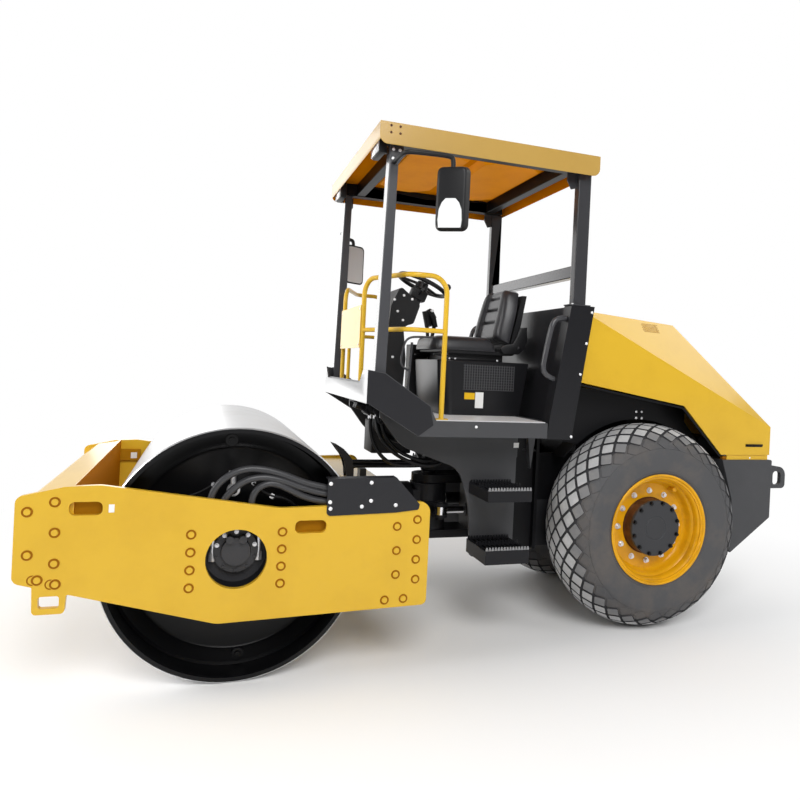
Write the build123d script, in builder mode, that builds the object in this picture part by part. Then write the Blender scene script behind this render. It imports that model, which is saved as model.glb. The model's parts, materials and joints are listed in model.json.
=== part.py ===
from build123d import *
import os
from math import cos, radians, sin

os.makedirs("parts", exist_ok=True)

# Single-drum road roller. X runs forward to the drum, Y to the machine's left,
# Z up from the ground; the origin lies on the ground in the middle of the machine.
# Millimetres throughout. Outline tables list (x, z, corner radius), with x counted
# from the axle or drum that the piece belongs to.

# ---------- driving sizes ----------
wheelbase = 2480          # rear axle to drum axis
front_reach = 917         # drum axis to the front of the side plates
tail_reach = 1120         # rear axle to the back of the tie-down eyes
pivot_ahead = 1260        # rear axle to the articulation pin
running_gap = 0.3         # between faces that move past each other
fit_gap = 0.05            # radial, shaft in its bearing

back_x = -(wheelbase + front_reach - tail_reach) / 2
drum_x = back_x + wheelbase
pivot_x = back_x + pivot_ahead

# drum and front frame
drum_radius = 610
drum_gap = 40             # drum's end to the side plate
drum_wall = 26
head_recess = 160
head_plate = 22
plate_out = 910           # outer face of the side plates
plate_thick = 30
plate_in = plate_out - plate_thick
half_drum = plate_in - drum_gap
rear_plate = 943          # drum axis to the back of the side plates
hub_hole = 139
beam_wall = 20

# rear wheels
tyre_radius = 632
tyre_width = 440
track_half = 530
rim_radius = 312          # bead seat
rim_flange = 338
rim_half = 205
disc_out = 606
disc_thick = 16
hub_radius = 172
hub_face = 694
spindle_radius = 60
axle_end = 462

# rear frame
nose_half = 450           # outer face of the nose plates
nose_thick = 20
rail_half = 290
rail_thick = 30
wall_x = 650              # rear axle to the back of the cross wall
wall_half = 360
well_x = 850              # rear axle to the front of the wheel well
well_side = (300, 320)    # inner wall of the wheel well
well_top = 1150
tail_x = 650              # rear axle to the front of the tail block
tail_half = 600
tail_back = 971
tail_top = 1042
arch_radius = tyre_radius + 18
rail_low = tyre_radius + 110

# platform
floor_half = 720
floor_z = 1264
floor_skin = 10
tread_thick = 5
floor_back = 790
slope_start = 1510
nose_x = 1854
nose_rise = 0.584         # slope of the front of the floor
skirt_thick = 8
skirt_low = 1177
stand_z = floor_z + tread_thick

# canopy and posts
column_half = (600, 690)
roof_z = 2830
roof_back = 535
roof_front = 1854
roof_half = 733
roof_skirt = 118
roof_skin = 6
beam_top = roof_z - roof_skin
post_top = 2740

# hood
hood_half = 600
hood_skin = 8


def side_face(table, y, x0=0.0):
    """Face in the XZ plane at height y along Y, from rows of (x, z, corner radius)."""
    with BuildSketch(Plane.XZ.offset(-y)) as sketch:
        with BuildLine():
            FilletPolyline(*[(x0 + x, z) for x, z, r in table], radius=[r for x, z, r in table], close=True)
        make_face()
    return sketch.sketch


def slab(table, y_low, y_high, x0=0.0, mode=Mode.ADD):
    """Side outline made solid between two stations along Y."""
    extrude(side_face(table, y_low, x0), amount=y_low - y_high, mode=mode)


def both_slabs(table, y_low, y_high, x0=0.0, mode=Mode.ADD):
    """The same slab on the left and on the right."""
    slab(table, y_low, y_high, x0, mode)
    slab(table, -y_high, -y_low, x0, mode)


def block(x_low, x_high, y_low, y_high, z_low, z_high, mode=Mode.ADD):
    """Box between its lowest and highest corners."""
    with Locations(((x_low + x_high) / 2, (y_low + y_high) / 2, (z_low + z_high) / 2)):
        Box(x_high - x_low, y_high - y_low, z_high - z_low, mode=mode)


def rod_between(start, end, radius, mode=Mode.ADD):
    """Round bar from one point to another."""
    line = Vector(*end) - Vector(*start)
    with Locations(Plane(origin=start, z_dir=line)):
        Cylinder(radius, line.length, align=(Align.CENTER, Align.CENTER, Align.MIN), mode=mode)


def tube(points, radius, bends):
    """Bent tube through points, with one bend radius for each corner."""
    with BuildLine(mode=Mode.PRIVATE) as route:
        FilletPolyline(*points, radius=bends)
    path = route.line
    with BuildSketch(Plane(origin=path @ 0, z_dir=path % 0), mode=Mode.PRIVATE) as section:
        Circle(radius)
    sweep(section.sketch, path=path)


def turned(profile, x, z):
    """Ring about the Y axis through (x, z), from rows of (radius, y)."""
    with BuildSketch(Plane.XY, mode=Mode.PRIVATE) as sketch:
        with BuildLine():
            Polyline(*profile, close=True)
        make_face()
    ring = revolve(sketch.sketch, axis=Axis.Y, mode=Mode.PRIVATE)
    add(Pos(x, 0, z) * ring)


def write(piece, name):
    """Label the finished sub-part and write its STEP file."""
    piece.part.label = name
    export_step(piece.part, f"parts/{name}.step")


# ---------- drum ----------
head_y = half_drum - head_recess
journal_radius = 70
journal_end = head_y + 39
with BuildPart() as drum:
    inner = drum_radius - drum_wall
    with BuildSketch(Plane.XY) as shell:
        with BuildLine():
            Polyline((inner, -half_drum), (drum_radius, -half_drum), (drum_radius, half_drum),
                     (inner, half_drum), close=True)
        make_face()
    revolve(axis=Axis.Y)
    for side in (-1, 1):
        with Locations(Plane(origin=(0, side * head_y, 0), z_dir=(0, -side, 0))):
            Cylinder(inner, head_plate, align=(Align.CENTER, Align.CENTER, Align.MIN))
        with Locations(Plane(origin=(0, side * head_y, 0), z_dir=(0, side, 0))):
            Cylinder(journal_radius, journal_end - head_y, align=(Align.CENTER, Align.CENTER, Align.MIN))
drum.part = Pos(drum_x, 0, drum_radius) * drum.part
write(drum, "drum")

# ---------- front frame ----------
lug_x = (710, 836)        # tie-down lug under the front of each side plate
lug_foot = 405
plate_table = [
    (front_reach, 915, 35), (730, 957, 0), (590, 963, 150), (-192, 846, 300), (-rear_plate, 866, 55),
    (-rear_plate, 338, 30), (79, 313, 150), (lug_x[0] - 4, 488, 8), (lug_x[0], lug_foot, 18),
    (lug_x[1], lug_foot, 18), (lug_x[1] + 4, 525, 8), (front_reach, 547, 35)]
plate_slots = [(644, 861, 133, 59, 24), (-339, 753, 150, 62, 26), (773, 457, 81, 52, 12)]

for side, name in ((1, "side_plate_left"), (-1, "side_plate_right")):
    y_low = min(side * plate_in, side * plate_out)
    with BuildPart() as side_plate:
        slab(plate_table, y_low, y_low + plate_thick, drum_x)
        with BuildSketch(Plane.XZ.offset(-y_low)):
            with Locations((drum_x, drum_radius)):
                Circle(hub_hole)
            for x, z, length, height, corner in plate_slots:
                with Locations((drum_x + x, z)):
                    RectangleRounded(length, height, corner)
        extrude(amount=-plate_thick, mode=Mode.SUBTRACT)
    write(side_plate, name)

front_beam_table = [(694, 560, 0), (694, 959, 0), (831, 933, 0), (890, 885, 0), (890, 640, 0), (830, 560, 0)]
rear_beam_back = 880
rear_beam_table = [(-rear_beam_back, 380, 0), (-rear_beam_back, 845, 0), (-655, 845, 0), (-655, 380, 0)]
for table, name in ((front_beam_table, "front_beam"), (rear_beam_table, "rear_beam")):
    with BuildPart() as beam:
        with BuildSketch(Plane.XZ.offset(plate_in)):
            with BuildLine():
                Polyline(*[(drum_x + x, z) for x, z, r in table], close=True)
            make_face()
            offset(amount=-beam_wall, kind=Kind.INTERSECTION, mode=Mode.SUBTRACT)
        extrude(amount=-2 * plate_in)
    write(beam, name)

# drum supports: flange bolted inside each side plate, a cup and the motor in it
support_flange = 22
support_half = 165
cup_radius = 168
cup_wall = 22
cup_end = head_y + 15
cup_floor = 25
motor_radius = 93
with BuildPart() as drum_supports:
    for side in (-1, 1):
        out = Plane(origin=(drum_x, side * plate_in, drum_radius), x_dir=(1, 0, 0), z_dir=(0, -side, 0))
        with BuildSketch(out):
            RectangleRounded(500, 2 * support_half, 40)
            Circle(hub_hole, mode=Mode.SUBTRACT)
        extrude(amount=support_flange)
        with BuildSketch(out.offset(support_flange)):
            Circle(cup_radius)
            Circle(cup_radius - cup_wall, mode=Mode.SUBTRACT)
        extrude(amount=plate_in - support_flange - cup_end)
        with BuildSketch(out.offset(plate_in - cup_end)):
            Circle(cup_radius)
            Circle(journal_radius + fit_gap, mode=Mode.SUBTRACT)
        extrude(amount=-cup_floor)
        with BuildSketch(out.offset(plate_in - cup_end - cup_floor)):
            Circle(motor_radius)
        extrude(amount=-40)
write(drum_supports, "drum_supports")

# articulation: knuckle, neck, oscillation housing and the steering clevises
joint_z = 665
knuckle_radius = 118
knuckle_z = (525, 815)
pin_radius = 45
flange_x = drum_x - rear_beam_back
clevis_back = 30          # clevis pins behind the articulation pin
clevis_side = 190
eye_thick = 48
eye_radius = 42
clevis_gap = eye_thick + 2
clevis_plate = 18
with BuildPart() as centre_joint:
    block(flange_x - 24, flange_x, -310, 310, 400, 830)
    with Locations(Plane(origin=(flange_x - 24, 0, joint_z), z_dir=(-1, 0, 0))):
        Cylinder(150, flange_x - 24 - (pivot_x + 130), align=(Align.CENTER, Align.CENTER, Align.MIN))
    block(pivot_x, pivot_x + 140, -90, 90, joint_z - 110, joint_z + 110)
    for side in (-1, 1):
        for z in (joint_z - clevis_gap / 2 - clevis_plate, joint_z + clevis_gap / 2):
            with BuildSketch(Plane.XY.offset(z)):
                with BuildLine():
                    Polyline((pivot_x - 60, side * 40), (pivot_x - clevis_back - 44, side * clevis_side),
                             (pivot_x - clevis_back + 44, side * clevis_side), (pivot_x + 100, side * 40),
                             close=True)
                make_face()
                with Locations((pivot_x - clevis_back, side * clevis_side)):
                    Circle(44)
            extrude(amount=clevis_plate)
        with Locations((pivot_x - clevis_back, side * clevis_side, joint_z + clevis_gap / 2 + clevis_plate)):
            Cylinder(26, 12, align=(Align.CENTER, Align.CENTER, Align.MIN))
        with Locations((pivot_x - clevis_back, side * clevis_side, joint_z - clevis_gap / 2 - clevis_plate)):
            Cylinder(26, 12, align=(Align.CENTER, Align.CENTER, Align.MAX))
    with Locations((pivot_x, 0, knuckle_z[0])):
        Cylinder(knuckle_radius, knuckle_z[1] - knuckle_z[0], align=(Align.CENTER, Align.CENTER, Align.MIN))
    with Locations((pivot_x, 0, knuckle_z[0])):
        Cylinder(pin_radius + fit_gap, knuckle_z[1] - knuckle_z[0],
                 align=(Align.CENTER, Align.CENTER, Align.MIN), mode=Mode.SUBTRACT)
write(centre_joint, "centre_joint")

# hose cover on the rear of the left side plate
cover_table = [
    (-411, 804, 20), (-411, 986, 0), (-757, 990, 0), (-884, 853, 0), (-878, 826, 12), (-756, 814, 0)]
cover_thick = 6
cover_reach = 62
with BuildPart() as hose_cover:
    slab(cover_table, plate_out, plate_out + cover_thick, drum_x)
    top_table = [(-411, 980, 0), (-411, 986, 0), (-757, 990, 0), (-757, 984, 0)]
    slab(top_table, plate_out - cover_reach, plate_out, drum_x)
    drop_table = [(-757, 984, 0), (-757, 990, 0), (-866, 872, 0), (-866, 866.5, 0)]
    slab(drop_table, plate_out - cover_reach, plate_out, drum_x)
write(hose_cover, "hose_cover")

# hose guide on the rear beam: two horns that the hose trunk lies between
horn_table = [
    (-760, 845, 0), (-760, 940, 60), (-600, 1066, 0), (-612, 1072, 0), (-700, 1020, 60), (-800, 960, 40),
    (-800, 845, 0)]
with BuildPart() as hose_guide:
    both_slabs(horn_table, 40, 52, drum_x)
    block(drum_x - 800, drum_x - 760, -40, 40, 845, 905)
write(hose_guide, "hose_guide")

# hoses from the cover down to the drum motor
hub_hose_radius = 13
hub_hose_y = plate_in - 15
# heights above the axis at the cover and over the drum, with the place along X of the top and of the drop
hub_hose_table = [(335, 423, -60, 120), (295, 380, -70, 60), (250, 336, -170, -75)]
with BuildPart() as hub_hoses:
    for rise_back, rise_top, x_top, x_drop in hub_hose_table:
        z_back = drum_radius + rise_back
        z_top = drum_radius + rise_top
        tube([(drum_x - 450, hub_hose_y, z_back), (drum_x - 330, hub_hose_y, z_back + 45),
              (drum_x + x_top, hub_hose_y, z_top), (drum_x + x_drop, hub_hose_y, z_top - 60),
              (drum_x + x_drop, hub_hose_y, drum_radius + support_half)], hub_hose_radius, [150, 90, 60])
write(hub_hoses, "hub_hoses")

# hose trunk over the joint, in a rear half and a front half that meet on the pivot axis
trunk_radius = 12
trunk_ys = (-26, 0, 26)
trunk_meet = 990
trunk_low = 917
valve_x = (1650, 1750)
valve_y = (190, 310)
valve_low = 1255
trunk_start = (back_x + 1690, 250)
trunk_over = 1075
with BuildPart() as front_hoses:
    for y in trunk_ys:
        tube([(pivot_x, y, trunk_meet - 2), (pivot_x, y, trunk_low), (drum_x - 700, y, trunk_low),
              (drum_x - 700, y, 845)], trunk_radius, [65, 50])
write(front_hoses, "front_hoses")
with BuildPart() as rear_hoses:
    for y in trunk_ys:
        start_x, start_y = trunk_start[0], trunk_start[1] + y
        tube([(start_x, start_y, valve_low), (start_x, start_y, 1190), (back_x + 1600, start_y, 1110),
              (back_x + 1420, 120 + y, trunk_over), (pivot_x, y, trunk_over), (pivot_x, y, trunk_meet + 3)],
             trunk_radius, [50, 80, 120, 65])
write(rear_hoses, "rear_hoses")

# ---------- steering cylinders ----------
barrel_pin_x = back_x + 730
barrel_radius = 40
rod_radius = 22
barrel_length = 342       # pin to the end of the barrel
rod_start = 200           # pin to the piston end of the rod, wheels straight
for side, hand in ((1, "left"), (-1, "right")):
    y = side * clevis_side
    start_x = barrel_pin_x
    with BuildPart() as barrel:
        with Locations((start_x, y, joint_z)):
            Cylinder(eye_radius, eye_thick)
        block(start_x, start_x + 70, y - 22, y + 22, joint_z - 22, joint_z + 22)
        rod_between((start_x + 60, y, joint_z), (start_x + barrel_length, y, joint_z), barrel_radius)
        rod_between((start_x + 75, y, joint_z), (start_x + barrel_length, y, joint_z), rod_radius + fit_gap,
                    mode=Mode.SUBTRACT)
        with Locations((start_x, y, joint_z)):
            Cylinder(22 + fit_gap, eye_thick, mode=Mode.SUBTRACT)
    write(barrel, f"steer_barrel_{hand}")
    with BuildPart() as rod:
        with Locations((pivot_x - clevis_back, y, joint_z)):
            Cylinder(eye_radius, eye_thick)
        rod_between((start_x + rod_start, y, joint_z), (pivot_x - clevis_back - 20, y, joint_z), rod_radius)
    write(rod, f"steer_rod_{hand}")

# ---------- rear frame ----------
nose_table = [
    (well_x, floor_z - floor_skin, 0), (slope_start, floor_z - floor_skin, 0), (1712, 1371.8, 0),
    (1712, 1262, 0), (1580, 1090, 250), (1215, 962, 150), (1146, 740, 200), (1123, 438, 20), (well_x, 445, 0)]
beam_half = 95
ear_radius = 110
ear_z = ((470, 520), (820, 870))
arch_low = 398            # arch liner starts this far above the axle
with BuildPart() as rear_frame:
    both_slabs(nose_table, nose_half - nose_thick, nose_half, back_x)
    block(back_x + wall_x, back_x + wall_x + 20, -wall_half, wall_half, 445, floor_z - floor_skin)
    for side in (-1, 1):
        low, high = sorted((side * well_side[0], side * nose_half))
        block(back_x + well_x, back_x + well_x + 20, low, high, 445, floor_z - floor_skin)
        low, high = sorted((side * well_side[0], side * well_side[1]))
        block(back_x + wall_x, back_x + well_x + 20, low, high, 445, skirt_low - running_gap)
    block(back_x + wall_x, pivot_x - 260, -beam_half, beam_half, ear_z[0][0], ear_z[1][1])
    for low, high in ear_z:
        with BuildSketch(Plane.XY.offset(low)):
            with Locations((pivot_x, 0)):
                Circle(ear_radius)
            with Locations((pivot_x - 140, 0)):
                Rectangle(280, 2 * ear_radius)
        extrude(amount=high - low)
    with Locations((pivot_x, 0, ear_z[0][0] - 14)):
        Cylinder(pin_radius, ear_z[1][1] - ear_z[0][0] + 28, align=(Align.CENTER, Align.CENTER, Align.MIN))
    for side in (-1, 1):
        for z in (joint_z - clevis_gap / 2 - clevis_plate, joint_z + clevis_gap / 2):
            with BuildSketch(Plane.XY.offset(z)):
                with Locations((barrel_pin_x, side * clevis_side)):
                    Circle(44)
                with Locations((barrel_pin_x - 30, side * clevis_side)):
                    Rectangle(60, 88)
            extrude(amount=clevis_plate)
        with Locations((barrel_pin_x, side * clevis_side, joint_z)):
            Cylinder(22, clevis_gap + 2 * clevis_plate + 20)
    rail_table = [
        (-tail_x, rail_low, 0), (-tail_x, rail_low + 38, 0), (-562.4, 1040, 0), (wall_x, 1040, 0),
        (wall_x, rail_low, 0)]
    both_slabs(rail_table, rail_half - rail_thick, rail_half, back_x)
    arch_table = [(-558, 905, 0), (-558, 1042, 0), (-500, 1120, 0), (-250, 1400, 60), (560, 1488, 0),
                  (wall_x, 1250, 0), (well_x, 1250, 0), (well_x, well_top - 120, 0),
                  (well_x - 90, well_top, 60), (600, well_top, 0)]
    both_slabs(arch_table, nose_half - 12, nose_half, back_x)
    for side in (-1, 1):
        with Locations(Plane(origin=(back_x, side * (nose_half - 6), tyre_radius), z_dir=(0, 1, 0))):
            Cylinder(arch_radius, 12.2, mode=Mode.SUBTRACT)
        y_low = min(side * rail_half, side * (nose_half - 12))
        with BuildSketch(Plane.XZ.offset(-y_low)):
            with Locations((back_x, tyre_radius)):
                Circle(arch_radius + 8)
                Circle(arch_radius, mode=Mode.SUBTRACT)
            with Locations((back_x, tyre_radius)):
                Rectangle(2 * arch_radius + 40, 2 * arch_low, mode=Mode.SUBTRACT)
            with Locations((back_x, tyre_radius - arch_radius)):
                Rectangle(2 * arch_radius + 40, 2 * arch_radius, mode=Mode.SUBTRACT)
        extrude(amount=-(nose_half - 12 - rail_half))
write(rear_frame, "rear_frame")

# tail block with its two tie-down eyes
tail_table = [(-tail_back, tail_top, 12), (-tail_back, 655, 12), (-tail_x, 424, 8), (-tail_x, 780, 0),
              (-562, tail_top, 0)]
eye_table = [(-tail_back, 845, 0), (-tail_reach, 845, 30), (-tail_reach, 985, 60), (-tail_back, 1005, 0)]
eye_y = (540, 570)
eye_slot = (68, 92, 24)
eye_centre = (-1048, 915)
with BuildPart() as tail_block:
    slab(tail_table, -tail_half, tail_half, back_x)
    both_slabs(eye_table, *eye_y, back_x)
    with BuildSketch(Plane.XZ.offset(-eye_y[1])):
        with Locations((back_x + eye_centre[0], eye_centre[1])):
            RectangleRounded(*eye_slot)
    extrude(amount=2 * eye_y[1], mode=Mode.SUBTRACT)
write(tail_block, "tail_block")

# rear axle
casing_radius = 185
with BuildPart() as rear_axle:
    rod_between((back_x, -axle_end, tyre_radius), (back_x, axle_end, tyre_radius), 84)
    rod_between((back_x, -disc_out + 60, tyre_radius), (back_x, disc_out - 60, tyre_radius), spindle_radius)
    rod_between((back_x, -150, tyre_radius), (back_x, 150, tyre_radius), casing_radius)
    for side in (-1, 1):
        y = side * (rail_half - rail_thick / 2)
        block(back_x - 110, back_x + 110, y - 35, y + 25, tyre_radius, rail_low)
write(rear_axle, "rear_axle")

# engine, as one block at its real place
with BuildPart() as engine:
    block(back_x - 520, back_x + 330, -250, 250, tyre_radius + casing_radius + 33, 1440)
    block(back_x - 200, back_x + 200, rail_thick - rail_half, rail_half - rail_thick, 1000, 1039)
write(engine, "engine")

# ---------- rear wheels ----------
tyre_profile = [
    (rim_radius, 190), (rim_flange + 1, 196), (350, 205), (400, 216), (460, tyre_width / 2), (496, 214),
    (533, 196), (569, 165), (602, 118), (624, 60), (tyre_radius, 0)]
seat_radius = rim_radius - running_gap
barrel_wall = rim_radius - 12
rim_profile = [
    (rim_flange, rim_half), (rim_flange, rim_half - 8), (seat_radius, rim_half - 14),
    (seat_radius, 14 - rim_half), (rim_flange, 8 - rim_half), (rim_flange, -rim_half),
    (barrel_wall, -rim_half), (barrel_wall, -15), (262, 5), (262, 105), (280, 125), (280, 155),
    (barrel_wall, 175), (barrel_wall, rim_half)]
disc_in = disc_out - disc_thick
disc_profile = [(hub_radius + 6, disc_in), (263, disc_in), (263, disc_out), (hub_radius + 6, disc_out)]
bore = spindle_radius + fit_gap
hub_profile = [
    (bore, axle_end + 3), (150, axle_end + 3), (150, 560), (235, 565), (235, disc_in), (hub_radius, disc_in),
    (hub_radius, hub_face - 10), (hub_radius - 10, hub_face), (0, hub_face), (0, disc_out - 50),
    (bore, disc_out - 50)]
for side, hand in ((1, "left"), (-1, "right")):
    with BuildPart() as tyre:
        loop = [(r, side * track_half + y) for r, y in tyre_profile]
        loop += [(r, side * track_half - y) for r, y in reversed(tyre_profile[:-1])]
        turned(loop, back_x, tyre_radius)
    write(tyre, f"tyre_{hand}")
    with BuildPart() as rim:
        turned([(r, side * (track_half + y)) for r, y in rim_profile], back_x, tyre_radius)
        turned([(r, side * y) for r, y in disc_profile], back_x, tyre_radius)
    write(rim, f"rim_{hand}")
    with BuildPart() as hub:
        turned([(r, side * y) for r, y in hub_profile], back_x, tyre_radius)
    write(hub, f"hub_{hand}")

# ---------- platform ----------
def slope_z(x):
    """Top of the floor at x counted from the rear axle."""
    return floor_z + nose_rise * max(0.0, x - slope_start)


notch_low, notch_high, notch_z = 515, 600, 1450
skirt_table = [
    (floor_back, skirt_low, 0), (1560, skirt_low, 0), (nose_x, 1352, 0), (nose_x, 1524, 0), (1761, 1512, 0),
    (1500, 1343, 30), (1465, floor_z, 12), (floor_back, floor_z, 0)]
skin_table = [
    (floor_back, floor_z - floor_skin, 0), (slope_start, floor_z - floor_skin, 0),
    (nose_x - 10, slope_z(nose_x - 10) - floor_skin, 0), (nose_x - 10, slope_z(nose_x - 10), 0),
    (slope_start, floor_z, 0), (floor_back, floor_z, 0)]
with BuildPart() as platform:
    slab(skin_table, -floor_half + skirt_thick, floor_half - skirt_thick, back_x)
    both_slabs(skirt_table, floor_half - skirt_thick, floor_half, back_x)
    block(back_x + wall_x, back_x + floor_back + 1, -column_half[0], column_half[0], floor_z - floor_skin,
          floor_z)
    for low, high in ((nose_half, floor_half - skirt_thick), (nose_thick - nose_half, nose_half - nose_thick),
                      (skirt_thick - floor_half, -nose_half)):
        block(back_x + floor_back, back_x + floor_back + skirt_thick, low, high, skirt_low,
              floor_z - floor_skin)
    with BuildSketch(Plane.YZ.offset(back_x + nose_x - 10)):
        with BuildLine():
            Polyline((-floor_half, 1346), (floor_half, 1346), (floor_half, 1523), (notch_high, 1523),
                     (notch_low, notch_z), (-notch_low, notch_z), (-notch_high, 1523), (-floor_half, 1523),
                     close=True)
        make_face()
    extrude(amount=10)
    slab([(valve_x[0], valve_low, 0), (valve_x[0], slope_z(valve_x[0]) - 5, 0),
          (valve_x[1], slope_z(valve_x[1]) - 5, 0), (valve_x[1], valve_low, 0)], *valve_y, back_x)
write(platform, "platform")

with BuildPart() as floor_treads:
    tread_half = floor_half - skirt_thick - 4
    block(back_x + floor_back + 10, back_x + 1460, -tread_half, tread_half, floor_z, stand_z)
write(floor_treads, "floor_treads")

# boarding steps on both sides
step_x = (882, 1150)
step_out = 750
step_levels = ((820, 882), (472, 550))
with BuildPart() as steps:
    for side in (-1, 1):
        for low, high in step_levels:
            y_low = min(side * nose_half, side * step_out)
            block(back_x + step_x[0], back_x + step_x[1], y_low, y_low + step_out - nose_half, low, high)
            inner = 6
            block(back_x + step_x[0] + inner, back_x + step_x[1] - inner, y_low + inner,
                  y_low + step_out - nose_half - inner, low + 14, high, mode=Mode.SUBTRACT)
write(steps, "steps")

# ---------- bulkhead, posts and canopy ----------
column_top = 1957
column_table = [(654, column_top, 0), (500, column_top, 0), (615, 1169, 0), (781, 1169, 0)]
panel_table = [(610, column_top, 0), (580, column_top, 0), (681, floor_z, 0), (711, floor_z, 0)]
hinge_pin = (back_x + 480, 1925)
hinge_y = 400
hinge_radius = 10
hinge_arm = 12
with BuildPart() as bulkhead:
    both_slabs(column_table, *column_half, back_x)
    slab(panel_table, -column_half[0], column_half[0], back_x)
    for side in (-1, 1):
        y_low = min(side * hinge_y, side * (hinge_y - hinge_arm))
        block(hinge_pin[0], back_x + 590, y_low, y_low + hinge_arm, hinge_pin[1] - 14, hinge_pin[1] + 14)
        rod_between((hinge_pin[0], side * (hinge_y - hinge_arm), hinge_pin[1]),
                    (hinge_pin[0], side * (hinge_y + hinge_arm + 2), hinge_pin[1]), hinge_radius)
write(bulkhead, "bulkhead")

post_y = (590, 670)
bar_z = (2128, 2200)
rear_post_x = (557, 640)
rear_post_y = (630, 680)
front_post_table = [
    (1745, slope_z(1745), 0), (1806, slope_z(1806), 0), (1779, post_top, 0), (1729, post_top, 0)]
with BuildPart() as front_posts:
    both_slabs(front_post_table, *post_y, back_x)
write(front_posts, "front_posts")

with BuildPart() as rear_posts:
    for side in (-1, 1):
        low, high = sorted((side * rear_post_y[0], side * rear_post_y[1]))
        block(back_x + rear_post_x[0], back_x + rear_post_x[1], low, high, column_top, post_top)
    block(back_x + rear_post_x[0] + 5, back_x + rear_post_x[0] + 65, -rear_post_y[0], rear_post_y[0], *bar_z)
write(rear_posts, "rear_posts")

beam_front = 1790
with BuildPart() as canopy_beams:
    for side in (-1, 1):
        y_low = min(side * (post_y[0] + 5), side * (post_y[1] - 5))
        y_high = y_low + post_y[1] - post_y[0] - 10
        block(back_x + rear_post_x[0] + 15, back_x + beam_front, y_low, y_high, post_top, beam_top)
    for x in (back_x + 1640, back_x + 640):
        block(x, x + 60, -post_y[0] - 5, post_y[0] + 5, beam_top - 80, beam_top)
write(canopy_beams, "canopy_beams")

with BuildPart() as canopy:
    block(back_x + roof_back, back_x + roof_front, -roof_half, roof_half, roof_z - roof_skirt, roof_z)
    low_corners = canopy.part.edges().filter_by(Axis.Y).group_by(Axis.Z)[0]
    fillet(low_corners, 45)
    block(back_x + roof_back + roof_skin, back_x + roof_front - roof_skin, -roof_half + roof_skin,
          roof_half - roof_skin, roof_z - roof_skirt, roof_z - roof_skin, mode=Mode.SUBTRACT)
write(canopy, "canopy")

lamp_z = (roof_z - 140, roof_z - 40)
with BuildPart() as work_lamps:
    for side in (-1, 1):
        block(back_x + beam_front + 5, back_x + roof_front - 12, side * 560 - 90, side * 560 + 90, *lamp_z)
        block(back_x + beam_front, back_x + beam_front + 10, side * 630 - 14, side * 630 + 14, *lamp_z)
write(work_lamps, "work_lamps")

# ---------- handrails with the front panel ----------
rail_radius = 14
rail_top = 2050
rail_mid = 1752
leg_back = (1428, 690)
leg_bend = (1640, 690)
leg_front = (1800, 290)
panel_z = (1647, 1897)
under_slope = [
    (1700, slope_z(1700), 0), (nose_x, slope_z(nose_x), 0), (nose_x, floor_z, 0), (1700, floor_z, 0)]
for side, hand in ((1, "left"), (-1, "right")):
    foot = slope_z(leg_front[0] - 2 * rail_radius)
    back_leg = (back_x + leg_back[0], side * leg_back[1])
    bend = (back_x + leg_bend[0], side * leg_bend[1])
    front_leg = (back_x + leg_front[0], side * leg_front[1])
    with BuildPart() as handrail:
        tube([(*back_leg, stand_z), (*back_leg, rail_top), (*bend, rail_top), (*front_leg, rail_top),
              (*front_leg, foot)], rail_radius, [95, 90, 95])
        tube([(*back_leg, rail_mid), (*bend, rail_mid), (*front_leg, rail_mid)], rail_radius - 1, [90])
        block(back_leg[0] - 35, back_leg[0] + 35, back_leg[1] - 18, back_leg[1] + 18, stand_z, stand_z + 6)
        slab(under_slope, -floor_half, floor_half, back_x, mode=Mode.SUBTRACT)
    write(handrail, f"handrail_{hand}")

# plate across the front legs, with one more bar below it
panel_x = back_x + leg_front[0] + rail_radius
with BuildPart() as rail_panel:
    block(panel_x, panel_x + 5, -leg_front[1] - 8, leg_front[1] + 8, *panel_z)
    rod_between((panel_x - 9, -66, slope_z(leg_front[0] - 20)), (panel_x - 9, -66, panel_z[0] + 60), 11)
    slab(under_slope, -floor_half, floor_half, back_x, mode=Mode.SUBTRACT)
write(rail_panel, "rail_panel")

# ---------- operator's place ----------
pod_table = [(775, stand_z, 0), (722, 1606, 0), (1315, 1606, 0), (1290, stand_z, 0)]
pod_half = 300
pod_corner = 75
with BuildPart() as seat_pod:
    slab(pod_table, -pod_half, pod_half, back_x)
    front_edges = seat_pod.part.faces().sort_by(Axis.X)[-1].edges().filter_by(Axis.Y, reverse=True)
    fillet(front_edges, pod_corner)
write(seat_pod, "seat_pod")

seat_half = 235
with BuildPart() as seat_shell:
    block(back_x + 860, back_x + 1230, -190, 190, 1606, 1650)
    slab([(1290, 1650, 10), (1290, 1668, 0), (905, 1668, 0), (830, 1700, 30), (755, 2040, 0),
          (725, 2040, 0), (790, 1650, 30)], -seat_half + 10, seat_half - 10, back_x)
write(seat_shell, "seat_shell")

with BuildPart() as seat_cushion:
    slab([(1345, 1668.3, 40), (1345, 1765, 40), (930, 1770, 20), (930, 1668.3, 10)],
         -seat_half, seat_half, back_x)
write(seat_cushion, "seat_cushion")

with BuildPart() as seat_back:
    slab([(925, 1776, 20), (825.5, 1722, 15), (747.5, 2075, 20), (800, 2095, 20), (850, 2075, 30)],
         -seat_half, seat_half, back_x)
write(seat_back, "seat_back")

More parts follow.
